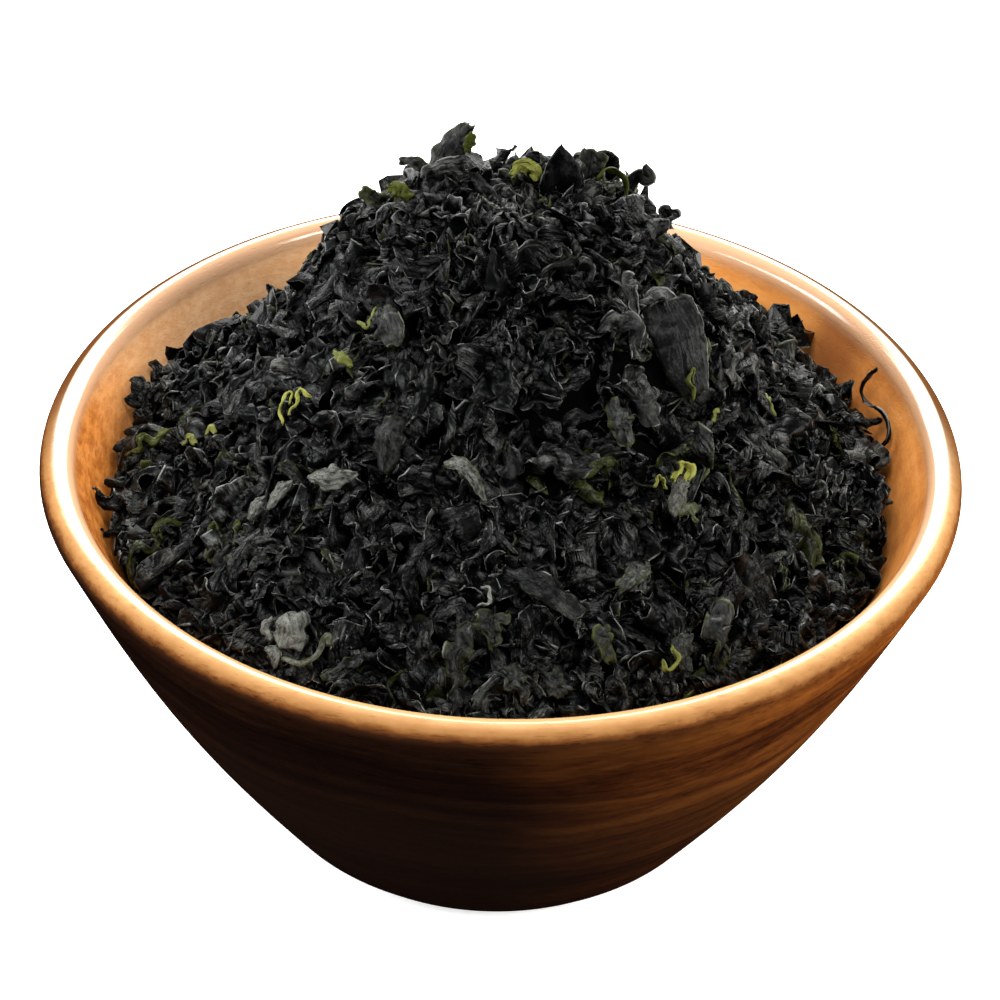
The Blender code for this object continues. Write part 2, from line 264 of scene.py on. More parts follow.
BRIGHT_WOOD = [
    (0.25, (0.86, 0.385, 0.112, 1)), (0.50, (0.74, 0.285, 0.068, 1)), (0.75, (0.50, 0.160, 0.035, 1))]
# The next two are painted: darker figure as shade at the hollow's front left, paler figure as a pool of light
# at its back left.
FIGURE_IN_PAINTED_SHADE = ((0.68, 0.245, 0.050, 1), (0.40, 0.118, 0.021, 1))
FIGURE_IN_PAINTED_LIGHT = ((1.0, 0.60, 0.31, 1), (0.86, 0.44, 0.20, 1))
DARK_TONGUE = (0.30, 0.095, 0.030, 1)
# Painted shade and painted light: the near-black wood stands for shade on the outside's front and left, the
# paler wood for the side light on its right.
GRAIN_IN_PAINTED_SHADE = [
    (0.0, (0.0078, 0.0030, 0.0016, 1)), (0.4, (0.0036, 0.0014, 0.0009, 1)),
    (1.0, (0.0013, 0.0007, 0.0006, 1))]
GRAIN_IN_PAINTED_LIGHT = [
    (0.0, (0.250, 0.078, 0.0140, 1)), (0.4, (0.135, 0.037, 0.0068, 1)),
    (0.75, (0.055, 0.0135, 0.0032, 1)), (1.0, (0.014, 0.0042, 0.0018, 1))]
# Painted shade towards the foot of the outside wall.
PAINTED_LOW_SHADE = (0.0048, 0.0024, 0.0017, 1)
# Lip colours: the crest's are partly wear and partly painted highlight, darker at the front as painted shade;
# down the outer side they darken, partly as painted shade.
FRONT_LIP_WEAR_AND_HIGHLIGHT = (0.52, 0.30, 0.13, 1)
BACK_LIP_WEAR_AND_HIGHLIGHT = (0.60, 0.345, 0.195, 1)
LIP_SIDE_WEAR_AND_SHADE = [
    (0.00, (0.56, 0.33, 0.15, 1)), (0.20, (0.40, 0.205, 0.080, 1)), (0.45, (0.26, 0.120, 0.039, 1)),
    (0.60, (0.12, 0.042, 0.011, 1)), (0.76, (0.030, 0.010, 0.004, 1))]
# Painted shade along the lip's outer edge at the back and sides.
PAINTED_EDGE_SHADE = (0.050, 0.014, 0.0035, 1)


def outer_radius(z):
    share = z / RIM_PLANE
    return FOOT_RADIUS + (RIM_RADIUS - FOOT_RADIUS) * share + WALL_BULGE * math.sin(math.pi * share)


def inner_radius(z):
    return outer_radius(min(z, RIM_PLANE)) - WALL_THICKNESS


def arc(centre, radii, start, end, steps):
    """Points (r, z) on an ellipse in the bowl's half section, angles in degrees."""
    angles = [math.radians(start + (end - start) * i / steps) for i in range(steps + 1)]
    return [(centre[0] + radii[0] * math.cos(a), centre[1] + radii[1] * math.sin(a)) for a in angles]


def bowl_section():
    """The wood's half section, from the middle of the foot out, up, over the lip and back in."""
    corner = (FOOT_RADIUS - FOOT_ROUNDING, FOOT_ROUNDING)
    points = [(r, 0.0) for r in (0.0, 0.012, 0.024, 0.034)]
    points += arc(corner, (FOOT_ROUNDING, FOOT_ROUNDING), -90, 0, 6)
    heights = [FOOT_ROUNDING + (RIM_PLANE - FOOT_ROUNDING) * i / 36 for i in range(1, 36)]
    points += [(outer_radius(z), z) for z in heights]
    points += arc((RIM_RADIUS - LIP_THICKNESS / 2, RIM_PLANE), (LIP_THICKNESS / 2, LIP_RISE), 0, 170, 24)
    wall = [WALL_START + (WALL_END - WALL_START) * (1 - i / 20) for i in range(21)]
    points += [(inner_radius(z), z) for z in wall]
    step = 0.001
    lean = math.atan2(inner_radius(WALL_START + step) - inner_radius(WALL_START), step)
    middle = points[-1][0] - HOLLOW_CORNER * math.cos(lean)
    centre = (middle, WALL_START + HOLLOW_CORNER * math.sin(lean))
    points += arc(centre, (HOLLOW_CORNER, HOLLOW_CORNER), -math.degrees(lean), -90, 8)[1:]
    return points + [(0.0, points[-1][1] - HOLLOW_DISH)]


def turned(name, section, segments, finish):
    """A closed solid of revolution of a half section that starts and ends on the axis."""
    points = []
    rings = []
    for r, z in section:
        around = segments if r else 1
        rings.append(list(range(len(points), len(points) + around)))
        for i in range(around):
            angle = 2 * math.pi * i / around
            points.append((r * math.cos(angle), r * math.sin(angle), z))
    faces = []
    for low, high in zip(rings, rings[1:]):
        for i in range(segments):
            j = (i + 1) % segments
            corners = [low[i % len(low)], low[j % len(low)], high[j % len(high)], high[i % len(high)]]
            faces.append(tuple(dict.fromkeys(corners)))
    return add_mesh(name, points, faces, finish)


def wood_finish():
    wood = Finish("oiled_wood", Specular_IOR_Level=0.0, Coat_Roughness=0.16, Coat_IOR=1.7)
    place = wood.node("ShaderNodeTexCoord", output="Object")
    x, y, z = (wood.part(place, axis) for axis in "XYZ")
    outside = wood.attribute("outside")
    # Growth layers are nearly level, so they band the walls; slow waves bend them.
    sway = wood.noise(wood.stretched((0.060, 0.060, 0.045)), detail=2.0)
    layers = {"W": z * 1000 + (sway - 0.5) * 22, "Scale": 0.075, "Detail": 3.0, "Roughness": 0.55}
    bands = wood.node("ShaderNodeTexNoise", {"noise_dimensions": "1D"}, layers)
    fibres = wood.noise(wood.stretched((0.020, 0.0012, 0.0006)), detail=4.0, roughness=0.6)
    streaks = wood.noise(wood.stretched((0.060, 0.030, 0.0030)), detail=3.0)
    clouds = wood.noise(wood.stretched((0.018, 0.016, 0.020)), detail=2.0)
    mottle = wood.noise(wood.stretched((0.0042, 0.0036, 0.0022)), detail=4.0, roughness=0.6)
    pores = wood.between(wood.noise(wood.stretched((0.0050, 0.0009, 0.00034)), detail=2.0), 0.58, 0.70)
    uneven = (fibres - 0.5) * 0.55 + (clouds - 0.5) * 0.30 + (mottle - 0.5) * 0.45 + pores * 0.22
    dark = wood.between(bands * 0.75 + streaks * 0.30, 0.38, 0.70)
    grained = dark * 0.85 + uneven + 0.06
    # Painted light and shade: the outside is painted paler towards its right side, most near the lip, where
    # the side light falls, and nearly black at the front and left, where shade falls; the growth bands run
    # through both.
    paler = wood.between(x + (sway - 0.5) * 0.05, -0.001, 0.090)
    shell = wood.mix(paler, wood.ramp(grained, GRAIN_IN_PAINTED_SHADE), wood.ramp(grained, GRAIN_IN_PAINTED_LIGHT))
    # Painted shade: the outside darkens towards the foot.
    low = wood.between(z + (sway - 0.5) * 0.012, RIM_PLANE, 0.034)
    shell = wood.mix(low * 0.72, shell, PAINTED_LOW_SHADE)
    # Painted light and shade in the hollow: a pale band up its back left is painted as a pool of light, and
    # its front left is painted darker as shade.
    shade = clouds * 0.75 + streaks * 0.35 + (fibres - 0.5) * 0.30 + (mottle - 0.5) * 0.3 - 0.05
    figure = wood.between(fibres * 0.35 + mottle * 0.65, 0.38, 0.62)
    front_left = wood.between(x, 0.01, -0.075) * wood.between(y, 0.035, 0.0)
    hollow = wood.mix(front_left, wood.ramp(shade, BRIGHT_WOOD), wood.mix(figure, *FIGURE_IN_PAINTED_SHADE))
    painted_light_band = wood.between(y * 0.8 - x * 0.6 + (clouds - 0.5) * 0.02, 0.048, 0.070)
    hollow = wood.mix(painted_light_band, hollow, wood.mix(figure, *FIGURE_IN_PAINTED_LIGHT))
    # Opposite it a narrow tongue of dark wood runs down the wall.
    tongue = wood.between(abs(x * 0.53 - y * 0.85 + (clouds - 0.5) * 0.006), 0.011, 0.003)
    hollow = wood.mix(tongue * wood.between(x, 0.03, 0.05) * 0.7, hollow, DARK_TONGUE)
    # The lip's crest is pale, partly from wear and partly as painted highlight, and painted darker at the
    # front than the back as shade.
    crest = wood.between(z, RIM_PLANE - 0.0004, RIM_PLANE + 0.0026)
    hollow = wood.mix(crest, hollow, wood.mix(wood.between(y, -0.066, -0.020), FRONT_LIP_WEAR_AND_HIGHLIGHT, BACK_LIP_WEAR_AND_HIGHLIGHT))
    # Down the lip's outer side the colour darkens, partly wood and partly painted shade, and stays paler on
    # the painted-lit right side.
    wear_and_shade_down_side = outside + (fibres - 0.5) * 0.18 + (mottle - 0.5) * 0.30 + pores * 0.06 - paler * 0.16
    # Round the back and the sides, but not at the front, the lip's outer edge is painted dark as shade and
    # has no coat.
    edge_shade_mask = wood.between(outside, 0.0, 0.12) * wood.between(y, -0.030, 0.015)
    lip_side = wood.mix(edge_shade_mask * 0.92, wood.ramp(wear_and_shade_down_side, LIP_SIDE_WEAR_AND_SHADE), PAINTED_EDGE_SHADE)
    outer = wood.mix(wood.between(outside, 0.60, 0.98), lip_side, shell)
    wood.colour(wood.mix(wood.between(outside, 0.0, 0.06), hollow, outer))
    wood.roughness(0.42 + (fibres - 0.5) * 0.22)
    wood.feed(wood.shader.inputs["Coat Weight"], wood.between(outside, 0.24, 0.0) * (1 - edge_shade_mask) * 0.85)
    wood.bump(fibres * 0.5 - pores * 0.6, 0.00007)
    return wood


def make_bowl():
    bowl = turned("bowl_turned", bowl_section(), BOWL_SEGMENTS, wood_finish())
    outside = bowl.data.attributes.new("outside", "FLOAT", "POINT")
    # 0 from the lip's crest inwards, rising to 1 where its outer side meets the wall, and 1 below.
    for point, value in zip(bowl.data.vertices, outside.data):
        r = math.hypot(point.co.x, point.co.y)
        above = point.co.z - RIM_PLANE
        if above > 0:
            turn = math.degrees(math.atan2(above / LIP_RISE, (r - RIM_RADIUS) / (LIP_THICKNESS / 2) + 1))
            value.value = min(max((CREST_TURN - turn) / CREST_TURN, 0.0), 1.0)
        else:
            on_wall = r > outer_radius(point.co.z) - WALL_THICKNESS / 2
            value.value = 1.0 if on_wall or point.co.z < 0.001 else 0.0
    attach(bowl, "root")
    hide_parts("bowl")


make_bowl()

# The heap's core ------------------------------------------------------------------------
# What lies under the flakes that show: the same dry wakame, packed too deep to tell apart, so
# it is one lumpy body that fits the bowl's hollow and stops short of the heap's surface. It is
# coloured black and dull, partly as painted shade in the gaps between the flakes.

PEAK_PLACE = (0.0010, 0.0100)
MOUND_HEIGHT = 0.0385
MOUND_SPREAD = 0.0400
MOUND_POWER = 3.2
SKIRT_HEIGHT = 0.0190
SKIRT_POWER = 3.0
EDGE_AT_SIDES = -0.0085
EDGE_AT_BACK = -0.0080
EDGE_AT_FRONT = -0.0040
EDGE_POWER = 12
CORE_DEPTH = 0.0056
CORE_EDGE_DROP = 0.004
CORE_CLEARANCE = 0.0006
CORE_LUMPS = 0.0009
CORE_STEP = 0.002  # the first ring down the wall lies at least this far below the core's edge
CORE_RINGS = 44
CORE_SEGMENTS = 120
CLUMPING = 0.0022  # how far the heap's surface rises and falls from clump to clump
# Where more lies against the wall: degrees round, spread in degrees, rise.
DRIFTS = ((158, 14, 0.0060), (122, 9, 0.0030), (42, 10, 0.0062))
DRIFT_START = 0.050
DRIFT_SLOPE = 0.012
# Where the mound has slumped or been heaped up: place in plan, spread, rise.
SLUMPS = ((-0.002, 0.031, 0.016, -0.0066), (0.033, 0.022, 0.010, -0.0035), (-0.030, 0.012, 0.010, 0.0022))
# Black and dull, partly the wakame's own colour and partly painted shade for the gaps.
PACKED_WAKAME_PAINTED_SHADE = (0.0006, 0.0007, 0.0006, 1)
WALL_GAP = 0.0005  # how far the core and the flakes keep clear of the hollow's wall
MAP_CELL = 0.0007
MAP_REACH = 106  # cells from the middle of the bowl to the edge of the height map


def wall_profile():
    """Heights up the hollow's wall and its radius at each."""
    heights = np.linspace(WALL_START, RIM_PLANE, 60)
    return heights, np.array([inner_radius(z) for z in heights])


WALL_HEIGHTS, WALL_RADII = wall_profile()


def heap_height(x, y):
    """Height of the heap's mean outer surface over places in plan."""
    towards_back = y / np.maximum(np.hypot(x, y), 1e-9)
    other = np.where(towards_back > 0, EDGE_AT_BACK, EDGE_AT_FRONT)
    edge = RIM_PLANE + EDGE_AT_SIDES + (other - EDGE_AT_SIDES) * towards_back**2
    share = np.minimum(np.hypot(x, y) / np.interp(edge, WALL_HEIGHTS, WALL_RADII), 1.0)
    from_peak = np.hypot(x - PEAK_PLACE[0], y - PEAK_PLACE[1])
    mound = MOUND_HEIGHT * np.exp(-((from_peak / MOUND_SPREAD) ** MOUND_POWER))
    height = edge + (mound + SKIRT_HEIGHT * (1 - share**SKIRT_POWER)) * (1 - share**EDGE_POWER)
    outward = np.clip((np.hypot(x, y) - DRIFT_START) / DRIFT_SLOPE, 0, 1)
    for angle, spread, rise in DRIFTS:
        height = height + rise * outward * np.exp(-(((np.degrees(np.arctan2(y, x)) - angle) / spread) ** 2))
    for slump_x, slump_y, spread, rise in SLUMPS:
        height = height + rise * np.exp(-(np.hypot(x - slump_x, y - slump_y) / spread) ** 2)
    return height


def waves(rng, count, rows, columns, knots):
    """Smooth random sheets from -1 to 1, one for each of count, with about knots bumps a side."""
    def blend(steps):
        gap = np.linspace(0, 1, steps)[:, None] * (knots - 1) - np.arange(knots)[None, :]
        weight = np.exp(-1.6 * gap**2)
        return weight / weight.sum(axis=1, keepdims=True)

    heights = rng.uniform(-1, 1, (count, knots, knots))
    return np.einsum("ri,bij,cj->brc", blend(rows), heights, blend(columns)) * 1.5


def cells(place, shift=0):
    """The height map's rows or columns for places along one axis, in metres."""
    return (place / MAP_CELL + MAP_REACH + shift).astype(int)


map_line = (np.arange(2 * MAP_REACH) - MAP_REACH + 0.5) * MAP_CELL
map_x, map_y = np.meshgrid(map_line, map_line, indexing="ij")
map_radius = np.hypot(map_x, map_y)
aim_map = heap_height(map_x, map_y)
wall_map = np.interp(map_radius, WALL_RADII, WALL_HEIGHTS, left=-1.0, right=1.0)
aim_map += CLUMPING * waves(np.random.default_rng(8), 1, 2 * MAP_REACH, 2 * MAP_REACH, 14)[0]
core_map = aim_map - CORE_DEPTH
top_map = np.maximum(core_map, wall_map)


def make_core():
    rng = np.random.default_rng(3)
    edge_height = RIM_PLANE + EDGE_AT_SIDES - CORE_EDGE_DROP
    reach = np.interp(edge_height, WALL_HEIGHTS, WALL_RADII) - CORE_CLEARANCE
    radii = reach * np.linspace(0, 1, CORE_RINGS + 1)[1:, None]
    angles = np.linspace(0, 2 * np.pi, CORE_SEGMENTS, endpoint=False)[None, :]
    x = radii * np.cos(angles)
    y = radii * np.sin(angles)
    z = core_map[cells(x), cells(y)] + rng.uniform(-1, 1, x.shape) * CORE_LUMPS
    z[-1] = edge_height
    points = [(0, 0, core_map[MAP_REACH, MAP_REACH])]
    points += np.stack([x, y, z], axis=-1).reshape(-1, 3).tolist()
    # Below its edge the core follows the hollow's wall down, a little clear of it.
    rows = CORE_RINGS
    for height, radius in zip(WALL_HEIGHTS[::-6], WALL_RADII[::-6]):
        if height < edge_height - CORE_STEP:
            rows += 1
            inner = radius - WALL_GAP
            turns = [(math.cos(angle), math.sin(angle)) for angle in angles[0]]
            points += [(inner * c, inner * s, height + WALL_GAP) for c, s in turns]
    faces = [(0, 1 + i, 1 + (i + 1) % CORE_SEGMENTS) for i in range(CORE_SEGMENTS)]
    for row in range(rows - 1):
        base = 1 + row * CORE_SEGMENTS
        below = base + CORE_SEGMENTS
        for i in range(CORE_SEGMENTS):
            j = (i + 1) % CORE_SEGMENTS
            faces.append((base + i, below + i, below + j, base + j))
    faces.append(tuple(1 + (rows - 1) * CORE_SEGMENTS + i for i in reversed(range(CORE_SEGMENTS))))
    finish = Finish("packed_wakame_in_painted_shade", Roughness=1.0, Base_Color=PACKED_WAKAME_PAINTED_SHADE, Specular_IOR_Level=0.02)
    core = add_mesh("wakame_core", points, faces, finish)
    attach(core, "root")
    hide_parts("wakame")


make_core()

# The flakes that stand out ----------------------------------------------------------------
# Single pieces of blade and midrib that catch the eye: points and hooks along the heap's top,
# broad smooth leaves, pale ones whose paleness is partly dust and partly painted sheen, and yellow-green
# curls whose brightness is partly painted light shining through. They dried as thin sheets, and each lies
# in a dip of the heap, laid along its own spine.

FLAKE_THICKNESS = 0.00024
MM = 0.001
STANDOUT_GRID = (25, 11)
LEAST_BREADTH = 0.0003
LEAF_APART = 0.037  # between two flakes' places on the leaf, so that their figure differs
PALE_FROM = 1.2  # a flake paler than this is wrinkled all over
BED_DEPTH = 0.0030  # how far below a standout flake the ordinary ones stop
BED_FILL = 0.0046  # and how far below it they reach, at the least
LOW_LYING = 0.0045  # a part no higher than this above the heap has a bed made under it
DEEPEST_DIP = 0.0015
COVER_GAP = 0.0004  # an ordinary flake stays this far under a standout flake
COVER_RISE = 0.0008  # unless that is less than this far above the heap's surface
TORN_KNOTS = (5, 9, 13)  # bumps along a margin, from its bays to its teeth

BLADE = ((0.0005, 0.0007, 0.0007, 1), (0.0028, 0.0033, 0.0032, 1))
DUSTY = (0.0130, 0.0138, 0.0125, 1)
# Partly pale dust, partly painted sheen on the standout flakes.
PALE_AND_PAINTED_SHEEN = (0.145, 0.150, 0.130, 1)
# Partly dried salt and pale margin, partly painted highlight on crests and edges.
SALT_BLOOM_AND_HIGHLIGHT = (0.165, 0.174, 0.160, 1)
OLIVE = ((0.010, 0.015, 0.004, 1), (0.075, 0.085, 0.015, 1))
# Yellow-green, brightened as painted light shining through the thin curls.
YELLOW_GREEN_AND_PAINTED_BACKLIGHT = (0.20, 0.205, 0.042, 1)


def sheet_normals(sheets):
    along = np.gradient(sheets, axis=1)
    over = np.gradient(sheets, axis=2)
    normal = np.cross(along, over)
    return normal / (np.linalg.norm(normal, axis=-1, keepdims=True) + 1e-12)


def blade_faces(rows, columns):
    """Triangles of one closed blade: its upper points by number, then the lower ones inside the margin."""
    upper = np.arange(rows * columns).reshape(rows, columns)
    lower = upper.copy()
    lower[1:-1, 1:-1] = rows * columns + np.arange((rows - 2) * (columns - 2)).reshape(rows - 2, columns - 2)
    faces = []
    for side, order in ((upper, 1), (lower, -1)):
        for i in range(rows - 1):
            for j in range(columns - 1):
                a, b, c, d = side[i, j], side[i + 1, j], side[i + 1, j + 1], side[i, j + 1]
                split = ((a, b, d), (b, c, d)) if (i + j) % 2 else ((a, b, c), (a, c, d))
                faces += [corners[::order] for corners in split]
    return np.array(faces)


def join_blades(name, sheets, flats, tints):
    """One piece from many sheets: each becomes a thin closed blade that carries its own leaf's coordinates.

    The points keep where they lay on the flat leaf, how far they are from its margin, and their flake's tint.
    """
    count, rows, columns = sheets.shape[:3]
    offset = sheet_normals(sheets) * (FLAKE_THICKNESS / 2)
    offset[:, [0, -1]] = 0
    offset[:, :, [0, -1]] = 0
    inner = (slice(None), slice(1, -1), slice(1, -1))

    def both(values, sign):
        first = (values + offset if sign else values).reshape(count, rows * columns, -1)
        second = (values - offset if sign else values)[inner].reshape(count, (rows - 2) * (columns - 2), -1)
        return np.concatenate([first, second], axis=1)

    points = both(sheets, True).reshape(-1, 3)
    each = rows * columns + (rows - 2) * (columns - 2)
    faces = (blade_faces(rows, columns)[None] + np.arange(count)[:, None, None] * each).reshape(-1, 3)
    mesh = bpy.data.meshes.new(name)
    mesh.vertices.add(len(points))
    mesh.vertices.foreach_set("co", points.astype(np.float32).ravel())
    mesh.loops.add(faces.size)
    mesh.loops.foreach_set("vertex_index", faces.astype(np.int32).ravel())
    mesh.polygons.add(len(faces))
    mesh.polygons.foreach_set("loop_start", np.arange(0, faces.size, 3, dtype=np.int32))
    mesh.update(calc_edges=True)
    mesh.shade_smooth()
    u = 1 - np.abs(np.linspace(-1, 1, rows))[None, :, None]
    v = 1 - np.abs(np.linspace(-1, 1, columns))[None, None, :]
    size = np.ptp(flats.reshape(count, -1, 2), axis=1) / 2
    margin = np.minimum(u * size[:, 0, None, None], v * size[:, 1, None, None])[..., None]
    apart = np.arange(count)[:, None, None, None] * LEAF_APART + np.zeros((1, rows, columns, 1))
    leaf = np.concatenate([flats, apart], axis=-1)
    spread = tints[:, None, None, :] + np.zeros((1, rows, columns, 1))
    for label, kind, field, values in (
        ("leaf", "FLOAT_VECTOR", "vector", leaf),
        ("margin", "FLOAT", "value", margin),
        ("tint", "FLOAT_COLOR", "color", spread),
    ):
        made = mesh.attributes.new(label, kind, "POINT")
        made.data.foreach_set(field, both(values, False).astype(np.float32).ravel())
    mesh.materials.append(WAKAME.material)
    piece = put_in_scene(name, mesh)
    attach(piece, "root")
    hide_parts("wakame")


def wakame_finish():
    """Dried blade. Its flakes' tints are how light they are, how green, how pale and dusty, and how wrinkled.

    Green and pale run from 0 to 1 over ordinary flakes and up to 2 on the few that stand out. On those few
    the palest grey is partly painted sheen and the yellow-green partly painted light shining through.
    """
    leaf = Finish("dried_wakame", Specular_IOR_Level=0.070)
    place = leaf.attribute("leaf", output="Vector")
    margin = leaf.attribute("margin")
    tint = leaf.attribute("tint", output="Vector")
    tone, green, pale = (leaf.part(tint, axis) for axis in "XYZ")
    wrinkled = leaf.attribute("tint", output="Alpha")

    def across(length, breadth):
        return leaf.stretched((length, breadth, 1.0), place)

    cloud = leaf.noise(across(0.0035, 0.0025), detail=3.0)
    wrinkles = leaf.crests(across(0.0060, 0.0010), 2.6)
    crepe = leaf.crests(across(0.0014, 0.0009), 2.4)
    dust = leaf.noise(across(0.0004, 0.0004), detail=2.0, roughness=0.7)
    weave = tone * 0.75 + (cloud - 0.5) * 0.6 + (dust - 0.5) * 0.4 + 0.10
    dark = leaf.mix(leaf.between(weave, 0.0, 1.0), *BLADE)
    mottled = pale + (cloud - 0.5) * 0.45 + (dust - 0.5) * 0.45
    mottled = mottled + (crepe - 0.4) * 0.35 + (wrinkles - 0.4) * 0.30
    dark = leaf.mix(leaf.between(mottled, 0.90, 1.20), dark, DUSTY)
    dark = leaf.mix(leaf.between(mottled, 1.20, 2.10), dark, PALE_AND_PAINTED_SHEEN)
    # Where the blade is drawn into wrinkles, pale lines lie on their crests and along its edge: partly dried
    # salt and thin pale margin, partly painted highlight.
    drawn = leaf.between(leaf.noise(across(0.0060, 0.0050), detail=1.0) + tone * 0.08, 0.44, 0.60) * wrinkled
    crest_bloom_and_highlight = leaf.between(cloud + (dust - 0.5) * 0.5, 0.42, 0.66) * drawn * wrinkles * wrinkles * 0.44
    edge = (1 - leaf.between(margin, 0.00006, 0.00026)) * leaf.between(cloud, 0.44, 0.62)
    dark = leaf.mix(crest_bloom_and_highlight.at_least(edge), dark, SALT_BLOOM_AND_HIGHLIGHT)
    olive = leaf.mix(leaf.between(green, 1.1, 2.0), leaf.mix(cloud, *OLIVE), YELLOW_GREEN_AND_PAINTED_BACKLIGHT)
    rim = 1 - leaf.between(margin + (cloud - 0.5) * 0.0012, 0.0, 0.0007)
    body = leaf.mix(leaf.between(green * 1.3 - 0.4 + (cloud - 0.5) * 0.6, 0.5, 1.0), dark, olive)
    leaf.colour(leaf.mix(rim * green, body, olive))
    leaf.roughness(0.29 + (dust - 0.5) * 0.3 + tone * 0.08)
    leaf.bump(drawn * (wrinkles * 0.9 + crepe * 0.5) + cloud * 0.8 + dust * 0.06, 0.00042)
    return leaf


WAKAME = wakame_finish()


def smooth_line(points, steps):
    """A curve through points, read at even steps."""
    knots = np.array(points, float)
    knots = np.concatenate([[2 * knots[0] - knots[1]], knots, [2 * knots[-1] - knots[-2]]])
    place = np.linspace(0, len(points) - 1, steps)
    start = np.minimum(place.astype(int), len(points) - 2)
    t = (place - start)[:, None]
    a, b, c, d = (knots[start + i] for i in range(4))
    return (2 * b + (c - a) * t + (2 * a - 5 * b + 4 * c - d) * t**2 + (3 * b - a - 3 * c + d) * t**3) / 2


def unit(vectors):
    return vectors / (np.linalg.norm(vectors, axis=-1, keepdims=True) + 1e-12)


def links(rows, columns):
    """Pairs of grid points for each span of link, in sets where no point is used twice."""
    number = np.arange(rows * columns).reshape(rows, columns)
    kinds = []
    for down, over in ((1, 0), (0, 1), (1, 1), (1, -1), (2, 0), (0, 2), (4, 0), (0, 4)):
        if down >= rows or over >= columns:
            continue
        first = number[: rows - down, max(0, -over): columns - max(0, over)]
        second = number[down:, max(0, over): columns + min(0, over)]
        along = np.arange(first.shape[0])[:, None] if down else np.arange(first.shape[1])[None, :]
        span = max(down, abs(over))
        parity = np.broadcast_to(along // span % 2, first.shape)
        for half in (0, 1):
            kinds.append((first[parity == half], second[parity == half], span, down * over != 0))
    return kinds


def crumple(rng, flat, bent, wide, dried):
    """Dries blades: they start bent and are drawn together across their width, so that they fall into pleats.

    Links along the sheet keep their length, which is longer at the ruffled margin and uneven all over.
    Longer links stiffen the pose, and kept is how much of its length, width and height each blade keeps.
    """
    count, rows, columns = flat.shape[:3]
    u = np.linspace(-1, 1, rows)[None, :, None]
    v = np.linspace(-1, 1, columns)[None, None, :]
    margin = np.maximum(np.abs(u), np.abs(v)) ** 4 + 0 * flat[..., 0]
    ruffle = rng.uniform(*dried["ruffle"], (count, 1, 1)) * margin
    growth = 1 + ruffle * (1 + 0.6 * waves(rng, count, rows, columns, 7))
    growth = growth + dried["uneven"] * waves(rng, count, rows, columns, 7)
    shape = bent.reshape(count, -1, 3).transpose(1, 0, 2)
    rest = flat.reshape(count, rows * columns, -1).transpose(1, 0, 2)
    grown = growth.reshape(count, -1).T
    sets = []
    for first, second, span, slanted in links(rows, columns):
        source = shape if span > 1 else rest
        reach = np.linalg.norm(source[second] - source[first], axis=2) * (grown[first] + grown[second]) / 2
        grip = {1: 0.25 if slanted else 0.5, 2: 0.25 * dried["stiff"], 4: 0.15 * dried["stiff"]}[span]
        sets.append((first, second, grip, reach))
    pleats = waves(rng, count, 1, columns, 9) + 0.5 * waves(rng, count, rows, columns, 9)
    rise = unit(np.cross(np.gradient(bent, axis=1), np.gradient(bent, axis=2)))
    sheet = bent + rise * (wide * 0.55 * dried["uneven"] * pleats)[..., None]
    points = np.ascontiguousarray(sheet.reshape(count, -1, 3).transpose(1, 0, 2))
    room = np.ptp(points, axis=0)
    final = rng.uniform(*np.array(dried["kept"]).T, (count, 3)) * room
    steps = dried["steps"]
    for step in range(steps):
        share = min(step / (0.75 * steps), 1.0)
        limit = room * (1 - share) + final * share
        points -= points.mean(axis=0)
        spread = np.maximum(np.ptp(points, axis=0), 1e-9)
        points *= np.minimum(1.0, 0.5 + 0.5 * limit / spread)
        for first, second, grip, reach in sets:
            gap = points[second] - points[first]
            span = np.sqrt(np.einsum("vbi,vbi->vb", gap, gap)) + 1e-9
            push = (grip * (1 - reach / span))[..., None] * gap
            points[first] += push
            points[second] -= push
    return points.transpose(1, 0, 2).reshape(count, rows, columns, 3)


def torn(rng, count, rows, columns):
    """How far each point of count sheets lies off its smooth place, where the margin is torn."""
    return sum(waves(rng, count, rows, columns, knots) / knots**0.5 for knots in TORN_KNOTS)


def slope_frame(x, y):
    """Axes on the heap's surface at a place in plan: along it, across it, and out of it."""
    step = 0.002
    rise_x = float(heap_height(x + step, y) - heap_height(x - step, y)) / (2 * step)
    rise_y = float(heap_height(x, y + step) - heap_height(x, y - step)) / (2 * step)
    out = Vector((-rise_x, -rise_y, 1)).normalized()
    return out.to_track_quat("Z", "X").to_matrix()


standouts = []
standout_rng = np.random.default_rng(21)


